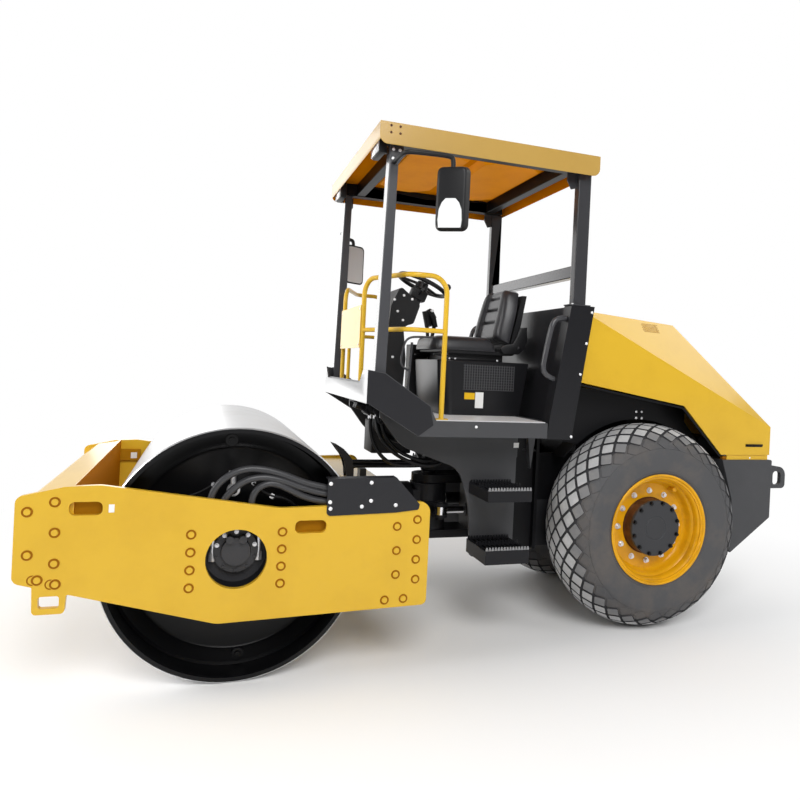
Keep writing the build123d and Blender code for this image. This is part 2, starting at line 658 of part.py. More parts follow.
# steering console, with its column and wheel
wheel_centre = (1362, 2080)
wheel_tilt = 22
wheel_ring = 160
wheel_hub = 15            # half the hub's height
wheel_axis = Plane(origin=(back_x + wheel_centre[0], 0, wheel_centre[1]),
                   z_dir=(-sin(radians(wheel_tilt)), 0, cos(radians(wheel_tilt))))
with BuildPart() as console:
    slab([(1500, slope_z(1500), 0), (1640, slope_z(1640), 0), (1600, 1800, 60), (1590, 1925, 20),
          (1535, 2050, 20), (1400, 1945, 30), (1440, 1820, 30), (1505, 1800, 40), (1480, 1600, 120)],
         -110, 110, back_x)
    rod_between(tuple(wheel_axis.from_local_coords((0, 0, -185))),
                tuple(wheel_axis.from_local_coords((0, 0, -wheel_hub - 0.1))), 32)
write(console, "console")

with BuildPart() as steering_wheel:
    with Locations(wheel_axis):
        Torus(wheel_ring, 14)
        Cylinder(40, 2 * wheel_hub)
    for turn in (90, 210, 330):
        rim_end = (wheel_ring * cos(radians(turn)), wheel_ring * sin(radians(turn)), 0)
        rod_between(tuple(wheel_axis.origin), tuple(wheel_axis.from_local_coords(rim_end)), 9)
write(steering_wheel, "steering_wheel")

# side console with the travel lever, on the right of the seat
with BuildPart() as control_console:
    block(back_x + 980, back_x + 1330, -420, -pod_half - 1, stand_z, 1705)
    rod_between((back_x + 1190, -360, 1700), (back_x + 1205, -360, 1850), 12)
    rod_between((back_x + 1195, -360, 1835), (back_x + 1222, -360, 1945), 24)
write(control_console, "control_console")

# curved grab handles on the columns
with BuildPart() as grab_handles:
    for side in (-1, 1):
        y = side * 645
        tube([(back_x + 640, y, 1880), (back_x + 735, y, 1868), (back_x + 800, y, 1560),
              (back_x + 700, y, 1515)], 13, [60, 70])
    add(bulkhead.part, mode=Mode.SUBTRACT)
write(grab_handles, "grab_handles")

# mirrors on their arms
mirror_turn = 32
mirror_size = (180, 56)
mirror_side = 858
# side, x, lowest z, highest z, root of the arm on the post
mirror_table = [(1, 1485, 2271, 2610, (1756, 670, 2640)), (-1, 1655, 2145, 2430, (1758, -670, 2500))]
with BuildPart() as mirrors:
    for side, x, z_low, z_high, root in mirror_table:
        turn = radians(-side * mirror_turn)
        x += back_x
        y = side * mirror_side
        with BuildSketch(Plane(origin=(x, y, z_low), x_dir=(cos(turn), sin(turn), 0), z_dir=(0, 0, 1))):
            RectangleRounded(*mirror_size, 20)
        extrude(amount=z_high - z_low)
        root_x = back_x + root[0]
        tube([(root_x, root[1], root[2]), (root_x, y, root[2]), (x, y, z_high + 45), (x, y, z_high - 10)],
             11, [30, 30])
write(mirrors, "mirrors")

# ---------- hood ----------
hood_profile = [
    (458, 1937, 0), (-310, 1915, 0), (-945, 1262, 0), (-945, 1075, 0), (-548, 1075, 0), (-241, 1385, 0),
    (522, 1507, 0)]
with BuildPart() as hood:
    slab(hood_profile, -hood_half, hood_half, back_x)
    for side in (-1, 1):
        crease_front = Vector(back_x + 458, side * hood_half, 1907)
        crease_back = Vector(back_x - 945, side * hood_half, 1262)
        roof_corner = Vector(back_x - 310, side * 350, 1915)
        normal = (crease_back - crease_front).cross(roof_corner - crease_front) * side
        split(bisect_by=Plane(origin=crease_front, z_dir=normal), keep=Keep.BOTTOM)
    open_faces = [f for f in hood.part.faces() if f.normal_at().Z < -0.5 or f.normal_at().X > 0.5]
    offset(amount=-hood_skin, openings=open_faces)
    for side in (-1, 1):
        y_low = min(side * (hinge_y + running_gap), side * (hinge_y + hinge_arm))
        with BuildSketch(Plane.XZ.offset(-y_low)):
            with Locations(hinge_pin):
                Circle(18)
            with BuildLine():
                Polyline((back_x + 380, 1932), (back_x + 440, 1934), (hinge_pin[0] + 10, hinge_pin[1] + 15),
                         (hinge_pin[0], hinge_pin[1] - 18), (back_x + 380, 1890), close=True)
            make_face()
            with Locations(hinge_pin):
                Circle(hinge_radius + fit_gap, mode=Mode.SUBTRACT)
        extrude(amount=running_gap - hinge_arm)
        y_low = min(side * (hood_half - hood_skin), side * (hood_half - 2 * hood_skin))
        block(back_x - 945 + hood_skin, back_x - 600, y_low, y_low + hood_skin, tail_top + running_gap, 1110)
write(hood, "hood")
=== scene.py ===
import json
import math

import bmesh
import bpy
from mathutils import Matrix, Vector

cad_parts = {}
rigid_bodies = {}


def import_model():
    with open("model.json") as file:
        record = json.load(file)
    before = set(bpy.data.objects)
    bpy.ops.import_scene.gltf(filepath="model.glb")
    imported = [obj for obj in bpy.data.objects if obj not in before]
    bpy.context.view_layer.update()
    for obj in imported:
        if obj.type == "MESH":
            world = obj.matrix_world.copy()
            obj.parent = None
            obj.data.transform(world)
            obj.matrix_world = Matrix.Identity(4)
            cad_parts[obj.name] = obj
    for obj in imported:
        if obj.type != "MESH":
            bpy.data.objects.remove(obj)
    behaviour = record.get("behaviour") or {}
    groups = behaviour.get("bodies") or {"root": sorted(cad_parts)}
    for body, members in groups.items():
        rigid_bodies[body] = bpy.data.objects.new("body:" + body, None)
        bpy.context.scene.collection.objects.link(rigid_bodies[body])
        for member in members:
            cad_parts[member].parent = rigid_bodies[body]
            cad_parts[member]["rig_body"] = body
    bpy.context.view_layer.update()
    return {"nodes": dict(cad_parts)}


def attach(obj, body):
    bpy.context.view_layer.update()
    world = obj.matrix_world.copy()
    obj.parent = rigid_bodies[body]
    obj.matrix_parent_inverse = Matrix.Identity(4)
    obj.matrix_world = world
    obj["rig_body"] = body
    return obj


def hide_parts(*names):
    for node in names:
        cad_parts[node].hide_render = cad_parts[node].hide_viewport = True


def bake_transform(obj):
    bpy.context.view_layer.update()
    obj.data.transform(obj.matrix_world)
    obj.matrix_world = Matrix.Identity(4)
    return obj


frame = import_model()

# Metres. X runs forward to the drum, Y to the machine's left, Z up.
backAxle = -1.1385
drumAxle = 1.3415
pivotX = 0.1215
drumZ = 0.610
wheelZ = 0.632
trackHalf = 0.530
plateFace = 0.9097   # where what lies on the side plates starts
podFace = 0.300
renderSize = 800


def atRear(x, y, z):
    return backAxle + x, y, z


def atDrum(x, y, z):
    return drumAxle + x, y, z


def fromAxle(rows, axle=backAxle):
    return [(axle + x, *rest) for x, *rest in rows]


def flatRoute(rows, y, axle=backAxle):
    return [(axle + x, y, z) for x, z in rows]


# ---- materials ----

def newMaterial(name):
    mat = bpy.data.materials.new(name)
    mat.use_nodes = True
    return mat, mat.node_tree.nodes, mat.node_tree.links


def setInputs(node, values):
    for key, value in values.items():
        node.inputs[key].default_value = value


def addNode(nodes, kind, values=None, operation=None):
    node = nodes.new("ShaderNode" + kind)
    if operation:
        node.operation = operation
    setInputs(node, values or {})
    return node


def makeMaterial(name, colour, rough=0.5, metal=0.0, coat=0.0, specular=0.5, dirt=None, dirtAmount=0.0,
                 dirtScale=3.0,
                 bump=0.0, bumpScale=200.0):
    mat, nodes, links = newMaterial(name)
    shader = nodes["Principled BSDF"]
    setInputs(shader, {"Base Color": (*colour, 1), "Roughness": rough, "Metallic": metal, "Coat Weight": coat,
                       "Coat Roughness": 0.14, "Coat IOR": 1.45, "Specular IOR Level": specular})
    place = addNode(nodes, "TexCoord")
    if dirt:
        cloud = addNode(nodes, "TexNoise", {"Scale": dirtScale, "Detail": 6, "Roughness": 0.65})
        ramp = addNode(nodes, "MapRange", {"From Min": 0.45, "From Max": 0.75, "To Max": dirtAmount})
        blend = nodes.new("ShaderNodeMix")
        blend.data_type = "RGBA"
        setInputs(blend, {"A": (*colour, 1), "B": (*dirt, 1)})
        links.new(place.outputs["Object"], cloud.inputs["Vector"])
        links.new(cloud.outputs["Fac"], ramp.inputs["Value"])
        links.new(ramp.outputs["Result"], blend.inputs["Factor"])
        links.new(blend.outputs["Result"], shader.inputs["Base Color"])
    if bump:
        grain = addNode(nodes, "TexNoise", {"Scale": bumpScale, "Detail": 3})
        relief = addNode(nodes, "Bump", {"Strength": bump, "Distance": 0.001})
        links.new(place.outputs["Object"], grain.inputs["Vector"])
        links.new(grain.outputs["Fac"], relief.inputs["Height"])
        links.new(relief.outputs["Normal"], shader.inputs["Normal"])
    return mat


bodyYellow = makeMaterial("bodyYellow", (0.72, 0.44, 0.026), 0.34, coat=0.35, specular=0.25,
                          dirt=(0.60, 0.345, 0.018), dirtAmount=0.5)
# painted shade: deeper orange for the front beam's inner faces, which lie in shade between the plates
beamInnerShade = makeMaterial("beamInnerShade", (0.58, 0.20, 0.003), 0.6, specular=0.03)
# painted shade: darker orange for the inside of the slot pockets
pocketShadeOrange = makeMaterial("pocketShadeOrange", (0.42, 0.19, 0.006), 0.6, specular=0.05)
roofYellow = makeMaterial("roofYellow", (0.47, 0.29, 0.065), 0.34, coat=0.35, specular=0.35,
                          dirt=(0.42, 0.25, 0.05), dirtAmount=0.4)
# painted shade: deep orange for the shaded underside of the roof
roofUndersideShade = makeMaterial("roofUndersideShade", (0.70, 0.22, 0.002), 0.8, specular=0.0, dirt=(0.60, 0.17, 0.001),
                         dirtAmount=0.5)
# painted shade: deep orange for the pressed panels under the roof
roofPressedShade = makeMaterial("roofPressedShade", (0.88, 0.31, 0.003), 0.55, specular=0.05, dirt=(0.74, 0.23, 0.002),
                           dirtAmount=0.6, dirtScale=5)
rimYellow = makeMaterial("rimYellow", (0.80, 0.39, 0.006), 0.30, coat=0.2, specular=0.2,
                         dirt=(0.36, 0.15, 0.01),
                         dirtAmount=0.5, dirtScale=9)
# dark ochre: painted shade for bolt grooves and vent slits, and the own colour of the foam strips
ochreAndGrooveShade = makeMaterial("ochreAndGrooveShade", (0.30, 0.11, 0.004), 0.6, specular=0.1)
frameGrey = makeMaterial("frameGrey", (0.064, 0.065, 0.069), 0.34, specular=0.22, dirt=(0.080, 0.080, 0.085),
                         dirtAmount=0.5, bump=0.06, bumpScale=420)
bumperGrey = makeMaterial("bumperGrey", (0.020, 0.020, 0.023), 0.30, specular=0.25, bump=0.05, bumpScale=420)
bulkheadGrey = makeMaterial("bulkheadGrey", (0.011, 0.011, 0.013), 0.28, specular=0.3, bump=0.05,
                            bumpScale=420)
rearPostGrey = makeMaterial("rearPostGrey", (0.040, 0.040, 0.044), 0.26, coat=0.5, specular=0.25)
# painted light: light grey for the outer row of step teeth; the other rows keep the dark step colour
toothLitGrey = makeMaterial("toothLitGrey", (0.24, 0.24, 0.246), 0.32, specular=0.4)
stepGrey = makeMaterial("stepGrey", (0.012, 0.012, 0.014), 0.38, specular=0.2)
postGrey = makeMaterial("postGrey", (0.064, 0.065, 0.071), 0.24, coat=0.7, specular=0.25)
noseGloss = makeMaterial("noseGloss", (0.085, 0.085, 0.089), 0.28, coat=0.6, specular=0.5, bump=0.05,
                         bumpScale=420)
deepBlack = makeMaterial("deepBlack", (0.0045, 0.0045, 0.0055), 0.42, specular=0.2)
drumBlack = makeMaterial("drumBlack", (0.0035, 0.0035, 0.0042), 0.30, specular=0.25)
drumSteel = makeMaterial("drumSteel", (0.60, 0.60, 0.605), 0.34, metal=0.75, dirt=(0.50, 0.49, 0.48),
                         dirtAmount=0.5, dirtScale=4, bump=0.10, bumpScale=60)
castBlack = makeMaterial("castBlack", (0.010, 0.010, 0.012), 0.5, specular=0.25, bump=0.25, bumpScale=260)
coverBlack = makeMaterial("coverBlack", (0.022, 0.022, 0.025), 0.34, specular=0.25)
hubGrey = makeMaterial("hubGrey", (0.040, 0.041, 0.045), 0.42, specular=0.3, bump=0.15, bumpScale=300)
handleGrey = makeMaterial("handleGrey", (0.055, 0.055, 0.060), 0.26, coat=0.4, specular=0.3)
motorGrey = makeMaterial("motorGrey", (0.045, 0.045, 0.049), 0.42, specular=0.35, bump=0.2, bumpScale=260)
hubBrown = makeMaterial("hubBrown", (0.07, 0.026, 0.010), 0.5, specular=0.25, dirt=(0.20, 0.09, 0.035),
                        dirtAmount=0.7, dirtScale=14, bump=0.2)
rubberGrey = makeMaterial("rubberGrey", (0.076, 0.076, 0.080), 0.62, specular=0.4, dirt=(0.15, 0.125, 0.105),
                          dirtAmount=0.6, dirtScale=5, bump=0.35, bumpScale=150)
# mid grey tops for the shoulder lugs, between the crown and the sidewall: partly painted light, partly wear
shoulderLightAndWearGrey = makeMaterial("shoulderLightAndWearGrey", (0.20, 0.20, 0.205), 0.8, specular=0.25, dirt=(0.26, 0.25, 0.24),
                            dirtAmount=0.8, dirtScale=22, bump=0.35, bumpScale=150)
# light grey lug tops: partly painted light, so that all lugs look evenly lit, and partly a worn crown
treadLightAndWearGrey = makeMaterial("treadLightAndWearGrey", (0.46, 0.46, 0.465), 0.8, specular=0.25, dirt=(0.60, 0.595, 0.585),
                         dirtAmount=0.8, dirtScale=22, bump=0.35, bumpScale=150)
# painted shade: darker rubber for the lug walls and the crown between the lugs
grooveShadeBlack = makeMaterial("grooveShadeBlack", (0.050, 0.050, 0.053), 0.85, specular=0.15)
hoseBlack = makeMaterial("hoseBlack", (0.006, 0.006, 0.007), 0.42, specular=0.3, bump=0.1, bumpScale=400)
hubHoseGrey = makeMaterial("hubHoseGrey", (0.040, 0.040, 0.043), 0.36, specular=0.45, bump=0.1, bumpScale=400)
whiteZinc = makeMaterial("whiteZinc", (0.90, 0.90, 0.91), 0.35, metal=0.2)
zinc = makeMaterial("zinc", (0.74, 0.74, 0.76), 0.3, metal=0.7)
chromeRod = makeMaterial("chromeRod", (0.80, 0.80, 0.82), 0.14, metal=1.0)
plastic = makeMaterial("plastic", (0.0085, 0.0085, 0.0095), 0.42, specular=0.3, bump=0.12, bumpScale=500)
vinyl = makeMaterial("vinyl", (0.022, 0.022, 0.025), 0.34, specular=0.45, bump=0.25, bumpScale=420)
podGrey = makeMaterial("podGrey", (0.0095, 0.0095, 0.011), 0.28, specular=0.3)
grilleGrey = makeMaterial("grilleGrey", (0.085, 0.085, 0.09), 0.4, specular=0.3)
# painted reflection: a near-white base stands for the bright sky reflected in the glass, beside a weak real
# reflection
mirrorGlass = makeMaterial("mirrorGlass", (0.93, 0.94, 0.95), 0.08, metal=0.2)
whiteLabel = makeMaterial("whiteLabel", (0.88, 0.88, 0.86), 0.5, specular=0.2)
yellowLabel = makeMaterial("yellowLabel", (0.84, 0.50, 0.015), 0.45, specular=0.2)
lampLens = makeMaterial("lampLens", (0.90, 0.91, 0.92), 0.10, coat=0.6)
lampLens.node_tree.nodes["Principled BSDF"].inputs["Transmission Weight"].default_value = 0.35


def makeTreadMetal():
    # raised lozenges in two directions on the walkway plate
    mat, nodes, links = newMaterial("treadMetal")
    shader = nodes["Principled BSDF"]
    setInputs(shader, {"Base Color": (0.86, 0.86, 0.87, 1), "Roughness": 0.42, "Metallic": 0.25})
    place = addNode(nodes, "TexCoord")
    both = addNode(nodes, "Math", operation="MAXIMUM")
    for i, turn in enumerate((45, -45)):
        turned = addNode(nodes, "Mapping", {"Rotation": (0, 0, math.radians(turn)), "Scale": (28, 11, 1)})
        cells = addNode(nodes, "TexVoronoi", {"Randomness": 0, "Scale": 1})
        low = addNode(nodes, "MapRange", {"From Min": 0.20, "From Max": 0.32, "To Min": 1, "To Max": 0})
        links.new(place.outputs["Object"], turned.inputs["Vector"])
        links.new(turned.outputs["Vector"], cells.inputs["Vector"])
        links.new(cells.outputs["Distance"], low.inputs["Value"])
        links.new(low.outputs["Result"], both.inputs[i])
    relief = addNode(nodes, "Bump", {"Strength": 0.7, "Distance": 0.003})
    links.new(both.outputs["Value"], relief.inputs["Height"])
    links.new(relief.outputs["Normal"], shader.inputs["Normal"])
    return mat


treadMetal = makeTreadMetal()

cadLooks = {
    "drum": drumSteel, "side_plate_left": bodyYellow, "side_plate_right": bodyYellow,
    "front_beam": bodyYellow,
    "rear_beam": bodyYellow, "drum_supports": castBlack, "centre_joint": castBlack, "hose_cover": coverBlack,
    "hose_guide": deepBlack, "steer_barrel_left": deepBlack, "steer_barrel_right": deepBlack,
    "steer_rod_left": chromeRod, "steer_rod_right": chromeRod, "rear_frame": frameGrey,
    "tail_block": frameGrey,
    "rear_axle": castBlack, "engine": castBlack, "tyre_left": rubberGrey, "tyre_right": rubberGrey,
    "rim_left": rimYellow, "rim_right": rimYellow, "hub_left": castBlack, "hub_right": castBlack,
    "platform": frameGrey, "floor_treads": treadMetal, "steps": stepGrey, "bulkhead": bulkheadGrey,
    "front_posts": postGrey, "rear_posts": rearPostGrey, "canopy_beams": deepBlack, "canopy": roofYellow,
    "work_lamps": lampLens, "handrail_left": bodyYellow, "handrail_right": bodyYellow,
    "rail_panel": bodyYellow, "seat_pod": podGrey, "seat_shell": plastic, "seat_cushion": vinyl,
    "seat_back": vinyl, "console": plastic, "steering_wheel": plastic,
    "control_console": plastic, "grab_handles": deepBlack, "mirrors": plastic, "hood": bodyYellow,
    "hub_hoses": hoseBlack, "front_hoses": hoseBlack, "rear_hoses": hoseBlack,
}
for node, look in cadLooks.items():
    slots = frame["nodes"][node].data.materials
    slots.clear()
    slots.append(look)
print("materials ready")


# ---- shared modelling ----

def placeMesh(name, mesh, looks, smoothAngle):
    for look in looks:
        mesh.materials.append(look)
    mesh.shade_smooth()
    mesh.set_sharp_from_angle(angle=math.radians(smoothAngle))
    piece = bpy.data.objects.new(name, mesh)
    bpy.context.scene.collection.objects.link(piece)
    return piece


def makePiece(name, bm, looks, body, smoothAngle=35, merge=True):
    if merge:
        bmesh.ops.remove_doubles(bm, verts=bm.verts, dist=0.00001)
    bmesh.ops.recalc_face_normals(bm, faces=bm.faces)
    mesh = bpy.data.meshes.new(name)
    bm.to_mesh(mesh)
    bm.free()
    piece = placeMesh(name, mesh, looks, smoothAngle)
    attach(piece, body)
    return piece


def addBox(bm, low, high, edge=0.0, look=0):
    size = [b - a for a, b in zip(low, high)]
    middle = [(a + b) / 2 for a, b in zip(low, high)]
    grown = bmesh.ops.create_cube(bm, size=1, matrix=Matrix.Translation(middle) @ Matrix.Diagonal((*size, 1)))
    faces = {face for vert in grown["verts"] for face in vert.link_faces}
    if edge:
        edges = {e for face in faces for e in face.edges}
        made = bmesh.ops.bevel(bm, geom=list(edges), offset=edge, segments=2, profile=0.5, affect="EDGES",
                               material=-1)
        faces = {face for vert in made["verts"] for face in vert.link_faces} | {f for f in faces
                                                                                if f.is_valid}
    for face in faces:
        face.material_index = look


def addSideBox(bm, side, low, high, edge=0.0, look=0):
    # corners are given for the left side
    y0, y1 = sorted((side * low[1], side * high[1]))
    addBox(bm, (low[0], y0, low[2]), (high[0], y1, high[2]), edge, look)


def onRing(centre, radius, turn, y):
    return centre[0] + radius * math.cos(turn), y, centre[2] + radius * math.sin(turn)


def alongAxis(start, end):
    start, end = Vector(start), Vector(end)
    turn = (end - start).to_track_quat("Z", "Y").to_matrix().to_4x4()
    return Matrix.Translation((start + end) / 2) @ turn, (end - start).length


def addRod(bm, start, end, radius, sides=24, endRadius=None, look=0):
    place, length = alongAxis(start, end)
    grown = bmesh.ops.create_cone(bm, cap_ends=True, segments=sides, radius1=radius,
                                  radius2=radius if endRadius is None else endRadius, depth=length,
                                  matrix=place)
    for face in {face for vert in grown["verts"] for face in vert.link_faces}:
        face.material_index = look


def addBolt(bm, seat, axis, radius=0.014, height=0.010, look=0, washer=1.45):
    seat, axis = Vector(seat), Vector(axis).normalized()
    addRod(bm, seat - axis * 0.0004, seat + axis * height * 0.22, radius * washer, 20, look=look)
    addRod(bm, seat + axis * height * 0.22, seat + axis * height, radius, 6, radius * 0.93, look=look)


def addScrew(bm, seat, axis, radius=0.009, look=0):
    # low round head
    seat, axis = Vector(seat), Vector(axis).normalized()
    addRod(bm, seat - axis * 0.0004, seat + axis * radius * 0.35, radius, 16, look=look)
    addRod(bm, seat + axis * radius * 0.35, seat + axis * radius * 0.65, radius, 16, radius * 0.55, look)


def addLathe(bm, profile, centre, steps=96):
    # profile rows are (radius, y); the ring is turned about Y through the centre
    verts = [bm.verts.new((centre[0] + r, y, centre[2])) for r, y in profile]
    edges = [bm.edges.new(pair) for pair in zip(verts, verts[1:])]
    bmesh.ops.spin(bm, geom=verts + edges, cent=centre, axis=(0, 1, 0), angle=math.tau, steps=steps,
                   use_merge=True)
    bmesh.ops.remove_doubles(bm, verts=bm.verts, dist=0.00001)


def addPlate(bm, corners, y, thick, look=0):
    # flat plate in the side view, grown outwards along Y
    verts = [bm.verts.new((x, y, z)) for x, z in corners]
    face = bm.faces.new(verts)
    grown = bmesh.ops.extrude_face_region(bm, geom=[face])
    moved = [v for v in grown["geom"] if isinstance(v, bmesh.types.BMVert)]
    bmesh.ops.translate(bm, verts=moved, vec=(0, thick, 0))
    for f in {f for v in verts + moved for f in v.link_faces}:
        f.material_index = look


def paintFaces(bm, look, test):
    for face in bm.faces:
        if test(face.calc_center_median()):
            face.material_index = look


def dressedCopy(node, edge=0.003, innerLook=None, isInner=None, splitX=None):
    # the CAD solid with its facets joined and its corners eased
    source = frame["nodes"][node]
    bm = bmesh.new()
    bm.from_mesh(source.data)
    bmesh.ops.remove_doubles(bm, verts=bm.verts, dist=0.00002)
    bmesh.ops.dissolve_limit(bm, angle_limit=math.radians(1.0), verts=bm.verts, edges=bm.edges)
    if splitX:
        bmesh.ops.bisect_plane(bm, geom=bm.verts[:] + bm.edges[:] + bm.faces[:], plane_co=(splitX, 0, 0),
                               plane_no=(1, 0, 0))
    mesh = bpy.data.meshes.new(node + "Finish")
    # isInner picks the faces for innerLook; on the beams, the roof and the rear frame that look is painted
    # shade
    if isInner:
        paintFaces(bm, 1, isInner)
    bm.to_mesh(mesh)
    bm.free()
    piece = placeMesh(node + "Finish", mesh, [cadLooks[node]] + [innerLook] * bool(isInner), 30)
    ease = piece.modifiers.new("ease", "BEVEL")
    ease.width = edge
    ease.segments = 2
    ease.limit_method = "ANGLE"
    ease.angle_limit = math.radians(30)
    ease.harden_normals = True
    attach(piece, source["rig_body"])
    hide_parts(node)
    return piece


def makeHose(name, route, radius, look, body, sides=6, replaced=()):
    line = bpy.data.curves.new(name, "CURVE")
    line.dimensions = "3D"
    spline = line.splines.new("NURBS")
    spline.points.add(len(route) - 1)
    for point, place in zip(spline.points, route):
        point.co = (*place, 1)
    spline.order_u = 3
    spline.use_endpoint_u = True
    line.resolution_u = 8
    line.bevel_depth = radius
    line.bevel_resolution = sides
    line.use_fill_caps = True
    shape = bpy.data.objects.new(name + "Line", line)
    bpy.context.scene.collection.objects.link(shape)
    bpy.context.view_layer.update()
    mesh = bpy.data.meshes.new_from_object(shape.evaluated_get(bpy.context.evaluated_depsgraph_get()))
    bpy.data.objects.remove(shape)
    mesh.name = name
    mesh.materials.clear()
    piece = placeMesh(name, mesh, [look], 40)
    if body:
        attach(piece, body)
    if replaced:
        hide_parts(*replaced)
    return piece


# ---- camera, lights and floor ----

cameraSetup = {"place": (1.5217, 4.2827, 1.5510), "yaw": -1.90465, "pitch": -0.0011, "roll": 0.04872,
               "focal": 693.57, "centre": (445.77, 369.13)}


def makeCamera():
    yaw, pitch, roll = cameraSetup["yaw"], cameraSetup["pitch"], cameraSetup["roll"]
    ahead = Vector((math.cos(yaw) * math.cos(pitch), math.sin(yaw) * math.cos(pitch), math.sin(pitch)))
    right = Vector((math.sin(yaw), -math.cos(yaw), 0))
    up = right.cross(ahead)
    rolledRight = right * math.cos(roll) + up * math.sin(roll)
    rolledUp = up * math.cos(roll) - right * math.sin(roll)
    turn = Matrix((rolledRight, rolledUp, -ahead)).transposed()
    data = bpy.data.cameras.new("camera")
    data.sensor_width = 36
    data.lens = cameraSetup["focal"] / renderSize * data.sensor_width
    data.shift_x = (renderSize / 2 - cameraSetup["centre"][0]) / renderSize
    data.shift_y = (cameraSetup["centre"][1] - renderSize / 2) / renderSize
    camera = bpy.data.objects.new("camera", data)
    camera.matrix_world = Matrix.Translation(cameraSetup["place"]) @ turn.to_4x4()
    bpy.context.scene.collection.objects.link(camera)
    bpy.context.scene.camera = camera


makeCamera()

lampSetup = [
    # name, place, aimed at, width and height, power
    ("keyLamp", (1.0, 7.2, 6.2), (0.3, 0.0, 1.0), (5.0, 5.0), 480),
    ("frontLamp", (8.0, 0.5, 4.0), (0.5, 0.0, 1.0), (4.5, 4.5), 340),
    ("backLamp", (-6.5, 4.5, 5.0), (-0.5, 0.0, 1.2), (4.0, 4.0), 90),
    ("hoodLamp", (-6.8, -0.3, 6.1), (-1.2, 0.4, 2.0), (4.0, 4.0), 100),
    ("sideLamp", (2.35, -6.5, 3.0), (2.0, 0.0, 3.0), (1.7, 4.4), 42),
]
for name, place, aim, size, power in lampSetup:
    light = bpy.data.lights.new(name, "AREA")
    light.shape = "ELLIPSE" if size[0] == size[1] else "RECTANGLE"
    light.size, light.size_y = size
    light.energy = power
    lamp = bpy.data.objects.new(name, light)
    turn = (Vector(aim) - Vector(place)).to_track_quat("-Z", "Y").to_matrix().to_4x4()
    lamp.matrix_world = Matrix.Translation(place) @ turn
    lamp.visible_camera = False
    bpy.context.scene.collection.objects.link(lamp)


def mapped(nodes, links, value, low, high, lowTo, highTo):
    span = addNode(nodes, "MapRange", {"From Min": low, "From Max": high, "To Min": lowTo, "To Max": highTo})
    span.interpolation_type = "SMOOTHSTEP"
    links.new(value, span.inputs["Value"])
    return span.outputs["Result"]


def makeSurround():
    # white to the camera; to the machine, bright on the far side and dim behind the camera
    world = bpy.data.worlds.new("studio")
    bpy.context.scene.world = world
    world.use_nodes = True
    nodes, links = world.node_tree.nodes, world.node_tree.links
    sky = nodes["Background"]
    setInputs(sky, {"Color": (1, 1, 1, 1)})
    place = addNode(nodes, "TexCoord")
    parts = addNode(nodes, "SeparateXYZ")
    links.new(place.outputs["Generated"], parts.inputs["Vector"])
    level = mapped(nodes, links, parts.outputs["Y"], -0.9, 0.3, 1.0, 0.16)
    path = addNode(nodes, "LightPath")
    either = addNode(nodes, "Math", operation="MAXIMUM")
    links.new(path.outputs["Is Camera Ray"], either.inputs[0])
    links.new(level, either.inputs[1])
    links.new(either.outputs["Value"], sky.inputs["Strength"])

    # pale floor that turns into the white of the background away from the machine
    mat, nodes, links = newMaterial("paleFloor")
    shader = nodes["Principled BSDF"]
    setInputs(shader, {"Base Color": (0.94, 0.94, 0.94, 1), "Roughness": 0.9, "Specular IOR Level": 0.1})
    glow = addNode(nodes, "Emission", {"Color": (1, 1, 1, 1)})
    place = addNode(nodes, "TexCoord")
    reach = addNode(nodes, "VectorMath", operation="LENGTH")
    links.new(place.outputs["Object"], reach.inputs[0])
    fade = mapped(nodes, links, reach.outputs["Value"], 1.6, 4.6, 0.0, 1.0)
    path = addNode(nodes, "LightPath")
    seen = addNode(nodes, "Math", operation="MAXIMUM")
    share = addNode(nodes, "Math", operation="MULTIPLY")
    blend = addNode(nodes, "MixShader")
    links.new(path.outputs["Is Camera Ray"], seen.inputs[0])
    links.new(path.outputs["Is Glossy Ray"], seen.inputs[1])
    links.new(seen.outputs["Value"], share.inputs[0])
    links.new(fade, share.inputs[1])
    links.new(share.outputs["Value"], blend.inputs["Fac"])
    links.new(shader.outputs["BSDF"], blend.inputs[1])
    links.new(glow.outputs["Emission"], blend.inputs[2])
    links.new(blend.outputs["Shader"], nodes["Material Output"].inputs["Surface"])
    bm = bmesh.new()
    bmesh.ops.create_grid(bm, x_segments=1, y_segments=1, size=40)
    bmesh.ops.translate(bm, verts=bm.verts, vec=(0, 0, -0.002))
    mesh = bpy.data.meshes.new("floor")
    bm.to_mesh(mesh)
    bm.free()
    mesh.materials.append(mat)
    floor = bpy.data.objects.new("floor", mesh)
    bpy.context.scene.collection.objects.link(floor)


makeSurround()
view = bpy.context.scene.view_settings
view.view_transform = "Standard"
print("studio ready")


# ---- drum ----

drumSetup = {"outer": 0.610, "inner": 0.584, "half": 0.840, "head": 0.680, "weldRadius": 0.500,
             "plugs": ((0.535, 86), (0.535, 266))}


